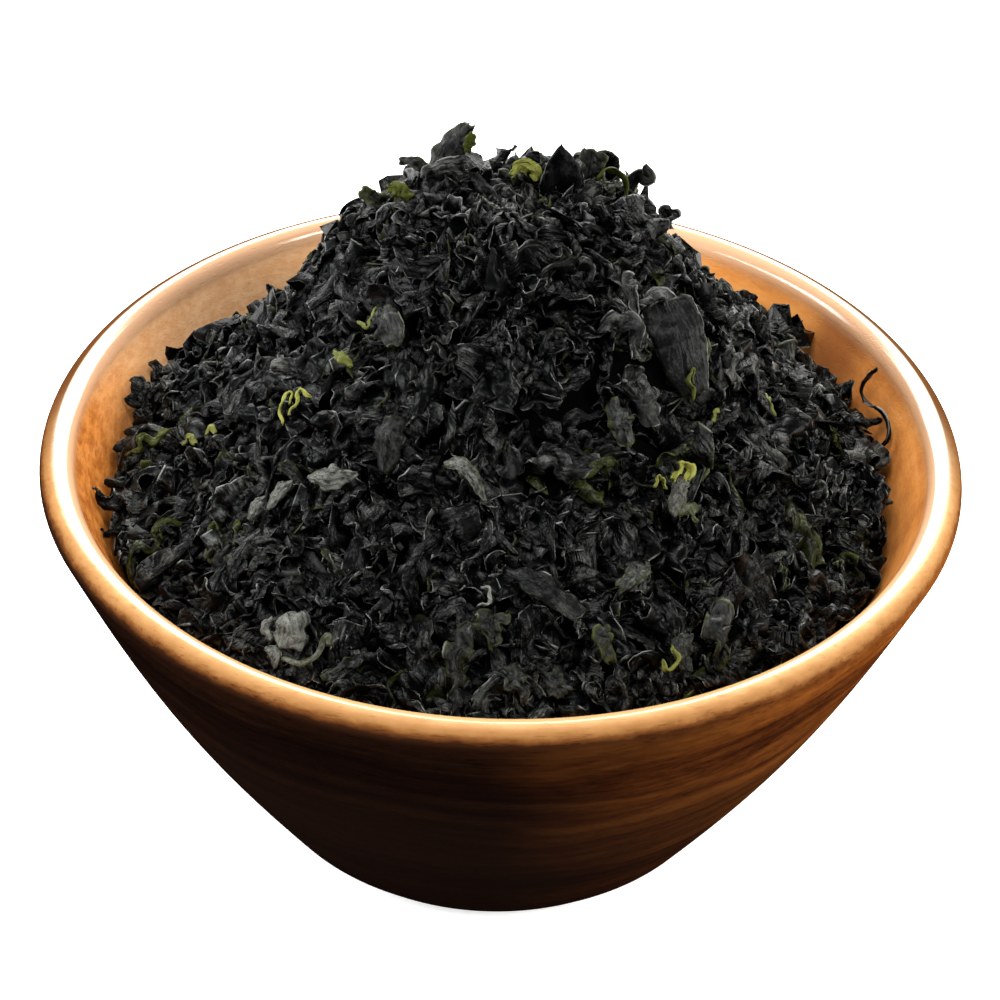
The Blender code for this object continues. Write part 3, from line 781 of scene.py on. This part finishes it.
def stand_out(spine, tint, facing=None, edge=None, cup=0.6, crumpled=1.0):
    """One flake along its spine, whose points are a place in plan, a height above the heap and a breadth.

    All in millimetres. Its tint is how light it is, how green, and how pale and dusty. Its face looks along
    facing, or else out of the heap, or its breadth runs along edge. Cup is how far it is rolled, in radians.
    """
    rows, columns = STANDOUT_GRID
    x, y, above, breadth = (smooth_line(spine, rows) * MM).T
    breadth = np.maximum(breadth, LEAST_BREADTH)
    line = np.stack([x, y, heap_height(x, y) + above], axis=-1)
    along = unit(np.gradient(line, axis=0))
    if edge:
        across = unit(np.array(edge, float) - along * (along @ np.array(edge, float))[:, None])
    else:
        middle = len(x) // 2
        out = facing or slope_frame(x[middle], y[middle]) @ Vector((0, 0, 1))
        across = unit(np.cross(along, np.array(out, float)[None, :]))
    normal = np.cross(across, along)
    u = np.linspace(-1, 1, rows)[:, None]
    v = np.linspace(-1, 1, columns)[None, :]
    raggedness = breadth.mean() * (0.05 + 0.15 * crumpled)
    wide = breadth[:, None] * (1 - 0.25 * u**8)
    bend = cup / 2 * v
    sideways = wide / cup * np.sin(bend) + raggedness * torn(standout_rng, 1, rows, columns)[0]
    lengthways = raggedness * torn(standout_rng, 1, rows, columns)[0]
    lift = -wide / cup * (1 - np.cos(bend))
    sheet = line[:, None] + across[:, None] * sideways[..., None] + normal[:, None] * lift[..., None]
    sheet = sheet + along[:, None] * lengthways[..., None]
    length = np.concatenate([[0], np.cumsum(np.linalg.norm(np.diff(line, axis=0), axis=1))])
    flat = np.stack([length[:, None] + 0 * v, v * breadth[:, None] / 2], axis=-1)
    standouts.append((sheet, flat, tint, above, breadth.mean(), crumpled))


ceiling_map = np.full_like(aim_map, 1.0)  # no ordinary flake rises above it
passed_map = np.zeros_like(aim_map)  # how much of a place's lack is let be, where no sheet fitted


def lay_bed(sheet, above):
    """Brings the heap that is to be filled to just under a standout flake, wherever it lies low."""
    x, y, z = sheet[..., 0], sheet[..., 1], sheet[..., 2]
    low = np.broadcast_to((above < LOW_LYING)[:, None], z.shape)
    surface = heap_height(x, y)
    for shift_x in (-1, 0, 1):
        for shift_y in (-1, 0, 1):
            column = cells(x, shift_x)
            row = cells(y, shift_y)
            np.maximum.at(aim_map, (column[low], row[low]), z[low] - BED_FILL)
            np.minimum.at(aim_map, (column, row), np.maximum(z - BED_DEPTH, surface - DEEPEST_DIP))
    np.minimum.at(ceiling_map, (cells(x), cells(y)), np.maximum(z - COVER_GAP, surface + COVER_RISE))


def dry_standouts():
    """Dries the standout flakes in place, clear of the wall, and makes their bed in the heap."""
    values = (np.array(each, float) for each in zip(*standouts))
    sheets, flats, tints, heights, breadths, crumpled = values
    middle = sheets.mean(axis=(1, 2), keepdims=True)
    share = crumpled[:, None, None]
    dried = {"kept": ((1, 1), (1, 1), (1, 1)), "ruffle": (0.15 * share, 0.5 * share),
             "uneven": 0.10 * share, "stiff": 0.8, "steps": 70}
    sheets = crumple(standout_rng, sheets, sheets, breadths[:, None, None], dried) + middle
    radius = np.hypot(sheets[..., 0], sheets[..., 1])
    free = np.interp(sheets[..., 2], WALL_HEIGHTS, WALL_RADII) - WALL_GAP
    sheets[..., :2] *= np.minimum(1.0, free / np.maximum(radius, 1e-9))[..., None]
    for sheet, above in zip(sheets, heights):
        lay_bed(sheet, above)
    wrinkled = np.maximum(crumpled, tints[:, 2] > PALE_FROM)
    join_blades("standout_flakes", sheets, flats, np.column_stack([tints, wrinkled]))


FRONT = (0, -1, 0.3)
# Points and hooks along the top, from left to right.
stand_out([(-24.6, 12, -4, 2.6), (-26, 12, -1.8, 3.6), (-27.6, 12, -0.2, 2.6)],
          (0.7, 0, 0.9), FRONT, crumpled=0.4)
stand_out([(-19.5, 12, -2.6, 1.6), (-21.5, 12, -0.6, 2.6), (-23.5, 12, 1.6, 3), (-25.3, 12, 4.4, 2)],
          (0.5, 0.75, 0.3), (0, -0.9, 0.6), crumpled=0.4)
stand_out([(-16.6, 11, -2.5, 2.2), (-18.6, 11, 0.6, 2.6), (-20.6, 11, 2.6, 1.6)],
          (0.6, 1.3, 0), (-0.2, -0.9, 0.6))
stand_out([(-12.6, 15, 0, 3), (-16, 15, 3.6, 2), (-18.9, 15, 5.4, 1.4)],
          (0.6, 0.6, 0.9), (-0.2, -0.8, 0.8), crumpled=0.6)
stand_out([(-12, 17, -3.4, 7.4), (-11.4, 17, 1.6, 6.4), (-9.4, 17, 6, 4.6), (-6.6, 17, 9.4, 1.8)],
          (0.9, 0.45, 1.02), (-0.4, -1, 0.4), cup=1.2, crumpled=0.3)
stand_out([(-7.6, 16.4, 4, 1.2), (-7, 16.4, 6, 1.8), (-6.4, 16.4, 8, 1.2)],
          (0.8, 1.0, 0), FRONT, crumpled=0.4)
stand_out([(-14.5, 14, -0.4, 3), (-11, 14, 1, 5.4), (-6.8, 14, 1.6, 4.6)], (1, 0, 0.95), FRONT, cup=1.6)
stand_out([(0, 11, 1, 1.4), (1.6, 11, 2.8, 2.6), (3.6, 11, 2.2, 2.8), (4.8, 10.5, 0, 1.4)],
          (1, 1.6, 0), FRONT, cup=1.4)
stand_out([(2.4, 23, -2, 3), (1.4, 23, 1.4, 3.6), (0.2, 23, 3.4, 2.4)],
          (0.8, 0, 1.0), (0.3, -1, 0.7), cup=1.0)
stand_out([(9, 10, -3, 9), (8.7, 10, 2.6, 6.4), (8.4, 10, 7.8, 0.4)],
          (0, 0, 0), (0.15, -1, 0.2), cup=0.9, crumpled=0.1)
stand_out([(13.6, 16, -3, 5), (13.8, 16, 2, 4.6), (14.2, 16, 5.6, 5.4)],
          (1, 0.6, 1.02), FRONT, cup=-1.0, crumpled=0.2)
stand_out([(14.4, 14, 1, 2), (15.8, 14, 3, 3), (17.6, 14, 3.6, 3.2), (19.4, 14, 2.2, 3), (19.8, 14, -0.8, 2),
           (19.4, 14, -3, 1)], (0.7, 1.15, 0.6), edge=(0.25, -0.8, 0.6), cup=0.7, crumpled=0.3)
stand_out([(15, 14, 0.5, 1.4), (16.6, 13.5, -0.5, 2.6), (18.4, 13.5, 1.5, 1.6)],
          (1, 0.5, 1.5), FRONT, cup=1.8)
stand_out([(19.5, 17, -1, 2.8), (21.5, 17, 4, 2.4), (23.6, 17, 6, 2.6), (23, 17, 8.2, 1.2)],
          (0.3, 0.2, 0), FRONT, crumpled=0.4)
stand_out([(25, 15, -1, 2.4), (26.5, 15, 3.4, 1.7), (28.3, 15, 4.6, 1.8), (29, 15, 2.6, 0.6)],
          (0.5, 0, 0.5), FRONT)
stand_out([(33.5, 12, -1, 1.2), (34, 12, 2, 1.2), (35.6, 12, 3, 0.8)], (0.3, 0, 0), FRONT)
# The broad smooth leaf at the right of the mound, its turned-down end, and its neighbours.
stand_out([(26, -8.6, 3.6, 10.4), (28.8, -13.2, 5, 8.8), (31.8, -18, 4, 5.6)],
          (0.9, 0.1, 0.77), (0.1, -0.7, 0.7), cup=0.5, crumpled=0.15)
stand_out([(21.8, -11.8, 3.4, 1), (25.8, -9, 4.8, 3.2), (30.6, -8, 3.8, 1)],
          (1, 0, 1.0), (0, -0.3, 1), crumpled=0.3)
stand_out([(21, -9, 3.5, 2.2), (19.6, -12, 4.4, 4), (21, -14.6, 3.5, 2)],
          (0.7, 0, 0.9), cup=-1.8, crumpled=0.5)
stand_out([(37.5, -1.5, 3, 3), (38.4, -5, 4, 5), (39.2, -8.4, 3, 6.8)], (1, 0, 1.0))
stand_out([(22.2, -21, 3, 4), (23.6, -23.4, 4, 4.4), (25.2, -25.4, 3, 3)], (1, 0, 1.0), cup=1.2)
stand_out([(31.6, -18.8, 4, 1.1), (30.4, -17.6, 5, 1.1), (31, -16, 5.8, 1.1), (31.9, -16.4, 4.6, 0.9)],
          (1, 1.2, 1.6), edge=(0.3, -0.5, 0.8))
stand_out([(15.3, -18.4, 2.4, 2), (18.3, -17.2, 4.6, 3.6), (21, -17, 4.4, 3.6), (22.1, -18.9, 2.4, 2)],
          (0.9, 0, 0.9), cup=1.6)
# An olive leaf at the left of the mound, with its pale curling margin, and a green blade beside it.
stand_out([(-21.2, -12.9, 3, 3), (-19.5, -16.9, 4, 6), (-18.1, -19.5, 2.4, 4.4)],
          (1, 0.4, 1.02), cup=1.0, crumpled=0.4)
stand_out([(-21.3, -13.4, 3.8, 1), (-22, -15.1, 4.6, 1), (-22.8, -15.8, 4.8, 1), (-24.4, -13.9, 4.4, 0.8)],
          (1, 1.4, 1.2), edge=(0.4, -0.5, 0.7), crumpled=0.3)
stand_out([(-28.4, -13.7, 2.6, 1.2), (-26.8, -16.3, 3.4, 2.2), (-25, -18.1, 2.4, 0.8)],
          (1, 1.35, 0.8), crumpled=0.4)
# The pale cupped leaf at the front left, with its rolled margin; its paleness is partly painted sheen.
stand_out([(-35, -51.4, 3, 4.6), (-33.6, -54.3, 5, 7.8), (-33, -57.6, 3.4, 6.4)],
          (1, 0, 1.5), cup=2.0, crumpled=0.5)
stand_out([(-34, -58.4, 3.6, 0.9), (-31, -60, 3.8, 0.9), (-28.6, -59.4, 4, 1.1), (-26.8, -57.4, 4.6, 1.0),
           (-26.2, -58.6, 4, 1.3)], (1, 0.7, 1.4), (0, -0.6, 0.8), crumpled=0.4)
stand_out([(-37, -55.2, 3, 0.9), (-35.5, -57, 3.4, 2.8), (-35, -59, 2.6, 0.6)], (1, 0.1, 1.3), crumpled=0.4)
stand_out([(-36, -55, 3.5, 1.3), (-37.3, -53, 4.4, 2.2), (-36, -51.8, 4, 1.3)],
          (1, 0, 1.4), cup=1.8, crumpled=0.4)
# Pale flakes, dusty and partly painted sheen, and grey rolled ones over the front.
stand_out([(-31.7, -30, 3, 1.6), (-28, -32.4, 4, 4.8), (-23.3, -33, 3, 0.9)],
          (1, 0, 1.42), cup=1.2, crumpled=0.4)
stand_out([(-38.2, -32.2, 3, 1.2), (-36, -30.5, 4, 3), (-34.3, -29.3, 3, 0.8)],
          (1, 0, 1.4), cup=1.2, crumpled=0.5)
stand_out([(-41.5, -32.6, 3, 1.6), (-40.2, -30.8, 3.6, 3), (-38.8, -29.6, 3, 1)],
          (1, 0, 1.35), cup=1.4, crumpled=0.5)
stand_out([(-18, -28, 3.6, 6.4), (-19, -31.2, 5, 7.2), (-19, -34.4, 3, 5.2)],
          (1, 0.1, 0.92), cup=2.6, crumpled=0.3)
stand_out([(-9.2, -35.2, 3, 1.2), (-6.5, -36.6, 4.2, 2.8), (-4.4, -38.6, 4.6, 2.2), (-2.3, -40.6, 3, 1.2)],
          (1, 0.35, 1.45), cup=1.2, crumpled=0.4)
stand_out([(1, -49, 2.5, 0.9), (6, -52, 4, 4.4), (13.6, -55, 2.8, 3.2)],
          (0.9, 0.05, 0.80), cup=0.9, crumpled=0.4)
stand_out([(-3, -55.6, 3.6, 0.9), (-1.3, -55.3, 4.2, 1.1), (-1.2, -54, 4.8, 1.1), (-2.8, -52.8, 4, 0.8)],
          (1, 0.1, 1.9), edge=(0.3, -0.6, 0.6))
# Leaves standing against the lip at the front.
stand_out([(-0.5, -61.5, 3, 1.6), (-1, -58.5, 4, 4.6), (-0.5, -55.4, 3, 5.4)], (1, 0.45, 1.0), cup=-0.9)
stand_out([(-6.5, -66.5, 2.5, 2.6), (-6, -62.5, 4, 4), (-4, -57.5, 3, 2.6)], (1, 0.4, 0.98), cup=1.2)
stand_out([(2.5, -62.6, 3, 2), (3.6, -65.6, 3.6, 4), (5, -68.4, 3, 0.9)], (1, 0.2, 1.08))
stand_out([(10, -63.2, 3, 2.8), (9, -67, 3, 2.8)], (1, 0.1, 1.08))
stand_out([(30.5, -59, 3, 2.8), (30, -56, 4, 4), (31, -52.6, 3, 2)], (1, 0.1, 1.12))
stand_out([(36.5, -56.5, 2.5, 2.8), (35.7, -52, 4.4, 5.6), (37.2, -46, 3, 8)], (1, 0.5, 1.03), cup=1.0)
stand_out([(18.6, -60.8, 3, 2.2), (17, -58, 4, 3), (17.6, -56, 3.6, 1.4)], (1, 0.8, 1.05))
stand_out([(19.3, -50.3, 3, 2.2), (22, -48, 4.2, 3.2), (24.2, -45.2, 3, 1.4)], (1, 0.35, 1.25))
# Yellow-green curls of the midrib's young edge, their brightness partly painted light shining through them.
stand_out([(-36.8, -19.2, 3.6, 1.1), (-37.2, -16.8, 4, 1.0), (-36.2, -15.4, 4.4, 1.0), (-35, -15.8, 4.2, 1.0),
           (-35.3, -17, 3.8, 0.7)], (1, 2, 0), edge=(0.35, -0.5, 0.8))
stand_out([(-35.8, -18.4, 3.6, 0.7), (-34.8, -17.8, 4, 1.0), (-33.6, -16.8, 4.4, 1.0),
           (-31.8, -18, 3.8, 0.7)], (1, 2, 0), edge=(0.35, -0.5, 0.8))
stand_out([(27.6, -31.8, 4, 1.3), (28.6, -30.4, 4.6, 1.4), (29.7, -29.2, 5, 2.2), (31, -29.2, 4.8, 2.2),
           (31.3, -30.4, 4, 1.4)], (1, 2, 0), edge=(0.6, -0.6, 0.5))
stand_out([(31, -29.8, 3.6, 2), (29.7, -31.7, 4.4, 3), (29, -34, 4.4, 3.2), (28, -36.2, 3, 2)],
          (1, 0.2, 1.35), cup=1.3, crumpled=0.4)
stand_out([(24.8, -34.2, 4, 1), (25.5, -32.8, 4.6, 1.2), (26.4, -32.8, 4.6, 1.2), (27.1, -33.4, 4, 1)],
          (1, 1.6, 0), edge=(0.3, -0.5, 0.8))
stand_out([(28.9, -35, 3, 1.6), (31, -34.6, 4, 2.2), (32.6, -35.5, 3, 0.6)], (1, 0.9, 1.5))
stand_out([(26.4, -59.2, 3.6, 1.1), (27.5, -60.2, 4, 1.3), (29, -58.6, 4.6, 1.3), (28.5, -56.8, 4.4, 1)],
          (1, 1.5, 0), edge=(0.35, -0.5, 0.7))
stand_out([(-66, 0, 2.5, 1.4), (-62, 0, 3.6, 2.2), (-57.5, -0.6, 2.6, 1.4)], (1, 1.0, 0.8))
stand_out([(-50.7, -8.8, 2.6, 1), (-49.8, -8.7, 3.4, 1.3), (-48.7, -10.2, 2.6, 0.9)],
          (1, 1.5, 0.5), crumpled=0.4)
stand_out([(-54.9, -7.4, 2.6, 1), (-53.6, -7.6, 3.4, 1.3), (-52.2, -9.4, 2.6, 0.9)],
          (1, 1.4, 0.5), crumpled=0.4)
stand_out([(44.5, -3.5, 2.6, 0.9), (45.2, -5.3, 3.8, 1.2), (46.5, -6.1, 2.6, 0.9)],
          (1, 1.3, 1.2), crumpled=0.4)
stand_out([(34.9, -18.3, 2.4, 1), (35.4, -17.2, 3.8, 1), (36.1, -15.8, 3.2, 0.8)],
          (1, 1.4, 1.0), crumpled=0.4)
# A pointed flake against the wall at the left, and a twisted strand that leans on it at the right.
stand_out([(-60.5, -14, 0.6, 4.4), (-66, -11.5, 2.6, 4.4), (-70.2, -10.4, 5.4, 1)], (0, 0, 0), (0, -0.7, 0.7))
stand_out([(66.8, 24, 12.6, 1.0), (65.6, 25, 9.6, 1.4), (64.9, 25.6, 5.6, 1.2), (66.4, 21.8, 5.6, 1.7),
           (68.4, 16.4, 6, 1.7), (69, 13, 4.4, 1.5), (67.8, 12, 2.4, 1.2)],
          (0.3, 0, 0), edge=(-0.6, -0.4, 0.6), crumpled=0.4)
stand_out([(60, 17, 2.5, 3), (64, 17.4, 3.6, 4.6), (68, 18, 4.4, 2)], (0.2, 0, 0))
stand_out([(60.5, 1, 2.6, 2.6), (64.5, 5.4, 4, 4.6), (68.4, 10.4, 3, 3)], (0.9, 0, 0.95))
# A long dark flake in the lap of the mound, and an olive one curled over it.
stand_out([(4.2, -36, 2.2, 3.4), (9.8, -34.8, 3.2, 6.6), (15.8, -32.2, 2.4, 4)], (0.8, 0, 0.84), cup=0.9)
stand_out([(18, -25.4, 2.8, 3), (19.4, -28, 4, 4.6), (20.8, -29.8, 2.8, 3.4)],
          (1, 0.6, 0.9), cup=1.8, crumpled=0.6)

dry_standouts()

# The bedding flakes -----------------------------------------------------------------------
# The first of the ordinary flakes, which fill the heap between its core and its surface: small
# sheets, simply bent as they dried, that are seen only in the gaps between the others.

TORN_SHARE = 0.08  # how far a torn margin wanders, against the flake's breadth
DEEPEST = 0.0042  # how far a sheet may be pressed into those below it
PROUD = 0.0022  # how far above the heap's surface an ordinary flake may stand
BEDDING_PROUD = 0.0030
REST_SHARE = 72  # a sheet rests once this much of it, in per cent, would lie above what is laid already
TRIES = 6  # places that a sheet is tried at, and moves that it makes at each
PASSED = 0.0010  # how much of a place's lack is let be each time that no sheet fits there
SITE_CELLS = 4  # a side of the squares that the heap's lack is averaged over
SITE_CHANCE = 0.0011  # how far chance sways the choice of the lowest place
WALL_MARGIN = 0.0003  # how far above the wall a sheet stays
SLIDE_SHARE = 0.6  # how far it slides inwards in one move, against how far it is too low
LONGEST_SLIDE = 0.003
SIMPLY_BENT = {"kept": ((0.8, 1.0), (0.7, 0.95), (0.9, 1.5)), "ruffle": (0, 0.3), "curl": (0.2, 2.0),
               "bow": (0.2, 2.0), "twist": (0, 1.5), "uneven": 0.12, "stiff": 0.5, "steps": 80}


def flat_blades(rng, count, grid, length, breadth):
    """Flat outlines cut from the leaf: grids of points with rounded, tapering and torn margins."""
    rows, columns = grid
    u = np.linspace(-1, 1, rows)[None, :, None]
    v = np.linspace(-1, 1, columns)[None, None, :]
    long = rng.uniform(*length, (count, 1, 1))
    wide = rng.uniform(*breadth, (count, 1, 1))
    round_off = rng.uniform(0.3, 1.0, (count, 1, 1))
    narrowing = rng.uniform(0.0, 0.6, (count, 1, 1))
    taper = 1 - narrowing * ((1 + u * rng.choice((-1, 1), (count, 1, 1))) / 2) ** 1.5
    x = long / 2 * u * (1 - round_off * (1 - np.sqrt(1 - v**2 / 2)))
    y = wide / 2 * v * taper * (1 - round_off * (1 - np.sqrt(1 - u**2 / 2)))
    x = x + wide * TORN_SHARE * torn(rng, count, rows, columns)
    y = y + wide * TORN_SHARE * torn(rng, count, rows, columns)
    return np.stack([x, y], axis=-1), long, wide


def posed(flat, long, wide, curl, bow, twist):
    """Flat blades rolled across their width by curl, bowed along their length and twisted, all in radians."""
    def steady(angle):
        return np.where(np.abs(angle) < 0.05, 0.05, angle)

    across = steady(curl) * flat[..., 1] / wide
    y = wide / steady(curl) * np.sin(across)
    z = wide / steady(curl) * (1 - np.cos(across))
    turn = twist * flat[..., 0] / long
    y, z = y * np.cos(turn) - z * np.sin(turn), y * np.sin(turn) + z * np.cos(turn)
    along = steady(bow) * flat[..., 0] / long
    reach = long / steady(bow)
    x = reach * np.sin(along) - z * np.sin(along)
    return np.stack([x, y, reach * (1 - np.cos(along)) + z * np.cos(along)], axis=-1)


def lowest_site(rng):
    """A place where the heap lacks most of its height, give or take a little."""
    squares = (2 * MAP_REACH // SITE_CELLS, SITE_CELLS) * 2
    lack = (aim_map - top_map - passed_map).reshape(squares).mean(axis=(1, 3))
    i, j = np.unravel_index(np.argmax(lack + rng.normal(0, SITE_CHANCE, lack.shape)), lack.shape)
    return (np.array([i, j]) * SITE_CELLS - MAP_REACH + rng.uniform(0, SITE_CELLS, 2)) * MAP_CELL


def settle(sheet, x, y, proud):
    """The sheet moved to rest at (x, y) on what is laid, or None where it would be buried or cross the wall.

    A sheet that meets the wall slides in from it, a little at a time.
    """
    for _ in range(TRIES):
        column = cells(sheet[..., 0] + x)
        row = cells(sheet[..., 1] + y)
        if min(column.min(), row.min()) < 0 or max(column.max(), row.max()) >= 2 * MAP_REACH:
            return None
        z = sheet[..., 2]
        lift = np.percentile(top_map[column, row] - z, REST_SHARE)
        highest = np.minimum(aim_map[column, row] + proud, ceiling_map[column, row])
        sunk = max(float((z + lift - highest).max()), 0)
        if sunk > DEEPEST:
            return None
        lift -= sunk
        cross = float((wall_map[column, row] - z - lift).max()) + WALL_MARGIN
        if cross <= 0:
            np.maximum.at(top_map, (column, row), z + lift)
            return sheet + np.array([x, y, lift])
        inwards = min(SLIDE_SHARE * cross + WALL_MARGIN, LONGEST_SLIDE) / math.hypot(x, y)
        x = x * (1 - inwards)
        y = y * (1 - inwards)
    return None


def lay(rng, sheets, tilt, proud):
    """Lays sheets one by one on the lowest places of the heap. Returns those laid and their numbers."""
    laid = []
    numbers = []
    for number, sheet in enumerate(sheets):
        centred = sheet - sheet.mean(axis=(0, 1))
        for _ in range(TRIES):
            x, y = lowest_site(rng)
            turn = Matrix.Rotation(rng.uniform(0, 2 * math.pi), 3, "Z")
            turn = turn @ Matrix.Rotation(rng.normal(0, tilt), 3, "X")
            turn = turn @ Matrix.Rotation(rng.normal(0, tilt), 3, "Y")
            high = proud * rng.choice((0.5, 1.0, 2.2), p=(0.5, 0.35, 0.15))
            placed = settle(centred @ np.array(slope_frame(x, y) @ turn).T, x, y, high)
            if placed is not None:
                laid.append(placed)
                numbers.append(number)
                break
            column, row = (int(place / MAP_CELL) + MAP_REACH for place in (x, y))
            passed_map[column - 3:column + 4, row - 3:row + 4] += PASSED
    return np.array(laid), numbers


def draw_tints(rng, count, green_share):
    """Each flake's lightness, how green it is, and how pale: most are dark, and few have a green margin."""
    tone = rng.uniform(0, 1, count) ** 1.5
    is_green = rng.uniform(0, 1, count) < green_share
    green = np.where(is_green, rng.uniform(0.15, 0.85, count), rng.uniform(0, 0.05, count))
    pale = rng.uniform(0, 1, count) ** 1.8
    return np.stack([tone, green, pale, np.ones(count)], axis=-1)


def make_flakes(name, seed, count, grid, length, breadth, dried, tilt, green_share, proud=PROUD):
    """Cuts, dries and lays one kind of flake, given the range of its sizes and how it dried."""
    rng = np.random.default_rng(seed)
    flat, long, wide = flat_blades(rng, count, grid, length, breadth)
    turns = [rng.uniform(*dried[bend], (count, 1, 1)) * rng.choice((-1, 1), (count, 1, 1))
             for bend in ("curl", "bow", "twist")]
    bent = posed(flat, long, wide, *turns)
    laid, numbers = lay(rng, crumple(rng, flat, bent, wide, dried), tilt, proud)
    join_blades(name, laid, flat[numbers], draw_tints(rng, len(numbers), green_share))


make_flakes("bedding_flakes", seed=11, count=430, grid=(7, 5), length=(0.011, 0.020),
            breadth=(0.009, 0.014), dried=SIMPLY_BENT, tilt=0.5, green_share=0.06, proud=BEDDING_PROUD)

# The pleated flakes -----------------------------------------------------------------------
# Broad pieces of blade that shrank across their veins, so that they fall into close pleats
# with a ruffled margin. They are the first of the flakes that cover the heap.

PLEATED = {"kept": ((0.75, 1.0), (0.35, 0.7), (0.8, 2.0)), "ruffle": (0.1, 0.5), "curl": (0.2, 2.0),
           "bow": (0.2, 2.0), "twist": (0, 1.5), "uneven": 0.12, "stiff": 0.08, "steps": 120}
make_flakes("pleated_flakes", seed=12, count=100, grid=(27, 17), length=(0.013, 0.022),
            breadth=(0.012, 0.022), dried=PLEATED, tilt=0.5, green_share=0.08)

# The rolled flakes ------------------------------------------------------------------------
# Narrower pieces of blade that rolled up along their length as they dried, some of them nearly
# into tubes, and keep that roll stiffly.

ROLLED = {"kept": ((0.8, 1.0), (0.7, 0.95), (0.9, 1.5)), "ruffle": (0, 0.35), "curl": (2.0, 6.0),
          "bow": (0.2, 1.5), "twist": (0, 2.0), "uneven": 0.08, "stiff": 0.6, "steps": 120}
make_flakes("rolled_flakes", seed=13, count=104, grid=(29, 15), length=(0.013, 0.025),
            breadth=(0.008, 0.014), dried=ROLLED, tilt=0.6, green_share=0.10)

# The open leaves --------------------------------------------------------------------------
# Thin pieces of blade that dried nearly flat, with a smooth face and a lightly waved margin.
# They lie loose over the pleated and the rolled ones.

OPEN_LEAF = {"kept": ((0.85, 1.0), (0.8, 1.0), (0.9, 1.3)), "ruffle": (0.1, 0.4), "curl": (0.3, 1.8),
             "bow": (0.2, 1.4), "twist": (0, 1.0), "uneven": 0.05, "stiff": 0.35, "steps": 100}
make_flakes("open_leaves", seed=16, count=124, grid=(25, 17), length=(0.010, 0.020),
            breadth=(0.009, 0.016), dried=OPEN_LEAF, tilt=0.45, green_share=0.10)

# The gathered flakes ----------------------------------------------------------------------
# Wide pieces of blade, cut close to the rib, that dried drawn together on all sides into fans
# and knots. They lie loose where the open leaves left room.

GATHERED = {"kept": ((0.6, 0.9), (0.3, 0.6), (0.8, 1.6)), "ruffle": (0.1, 0.6), "curl": (0.2, 3.0),
            "bow": (0.2, 2.5), "twist": (0, 2.5), "uneven": 0.12, "stiff": 0.05, "steps": 120}
make_flakes("gathered_flakes", seed=17, count=96, grid=(25, 17), length=(0.010, 0.016),
            breadth=(0.012, 0.019), dried=GATHERED, tilt=0.6, green_share=0.08)

# The twisted strands ----------------------------------------------------------------------
# Narrow strips, cut from along the veins, that twisted and bowed freely as they dried. They lie
# loose across the broader flakes.

TWISTED = {"kept": ((0.8, 1.0), (0.7, 0.95), (0.9, 1.5)), "ruffle": (0, 0.5), "curl": (0.5, 3.0),
           "bow": (0.5, 4.0), "twist": (0.5, 7.0), "uneven": 0.12, "stiff": 0.5, "steps": 120}
make_flakes("twisted_strands", seed=14, count=220, grid=(29, 5), length=(0.012, 0.026),
            breadth=(0.002, 0.005), dried=TWISTED, tilt=0.5, green_share=0.10)

# The small bits ---------------------------------------------------------------------------
# Scraps that broke off when the dried seaweed was cut. They lie loose in the last low places
# between the flakes.

SCRAP = {"kept": ((0.75, 1.0), (0.35, 0.7), (0.8, 2.0)), "ruffle": (0, 0.4), "curl": (0.5, 4.0),
         "bow": (0.5, 3.0), "twist": (0.5, 3.0), "uneven": 0.12, "stiff": 0.5, "steps": 120}
make_flakes("small_bits", seed=15, count=190, grid=(9, 7), length=(0.004, 0.009),
            breadth=(0.003, 0.006), dried=SCRAP, tilt=0.6, green_share=0.10)
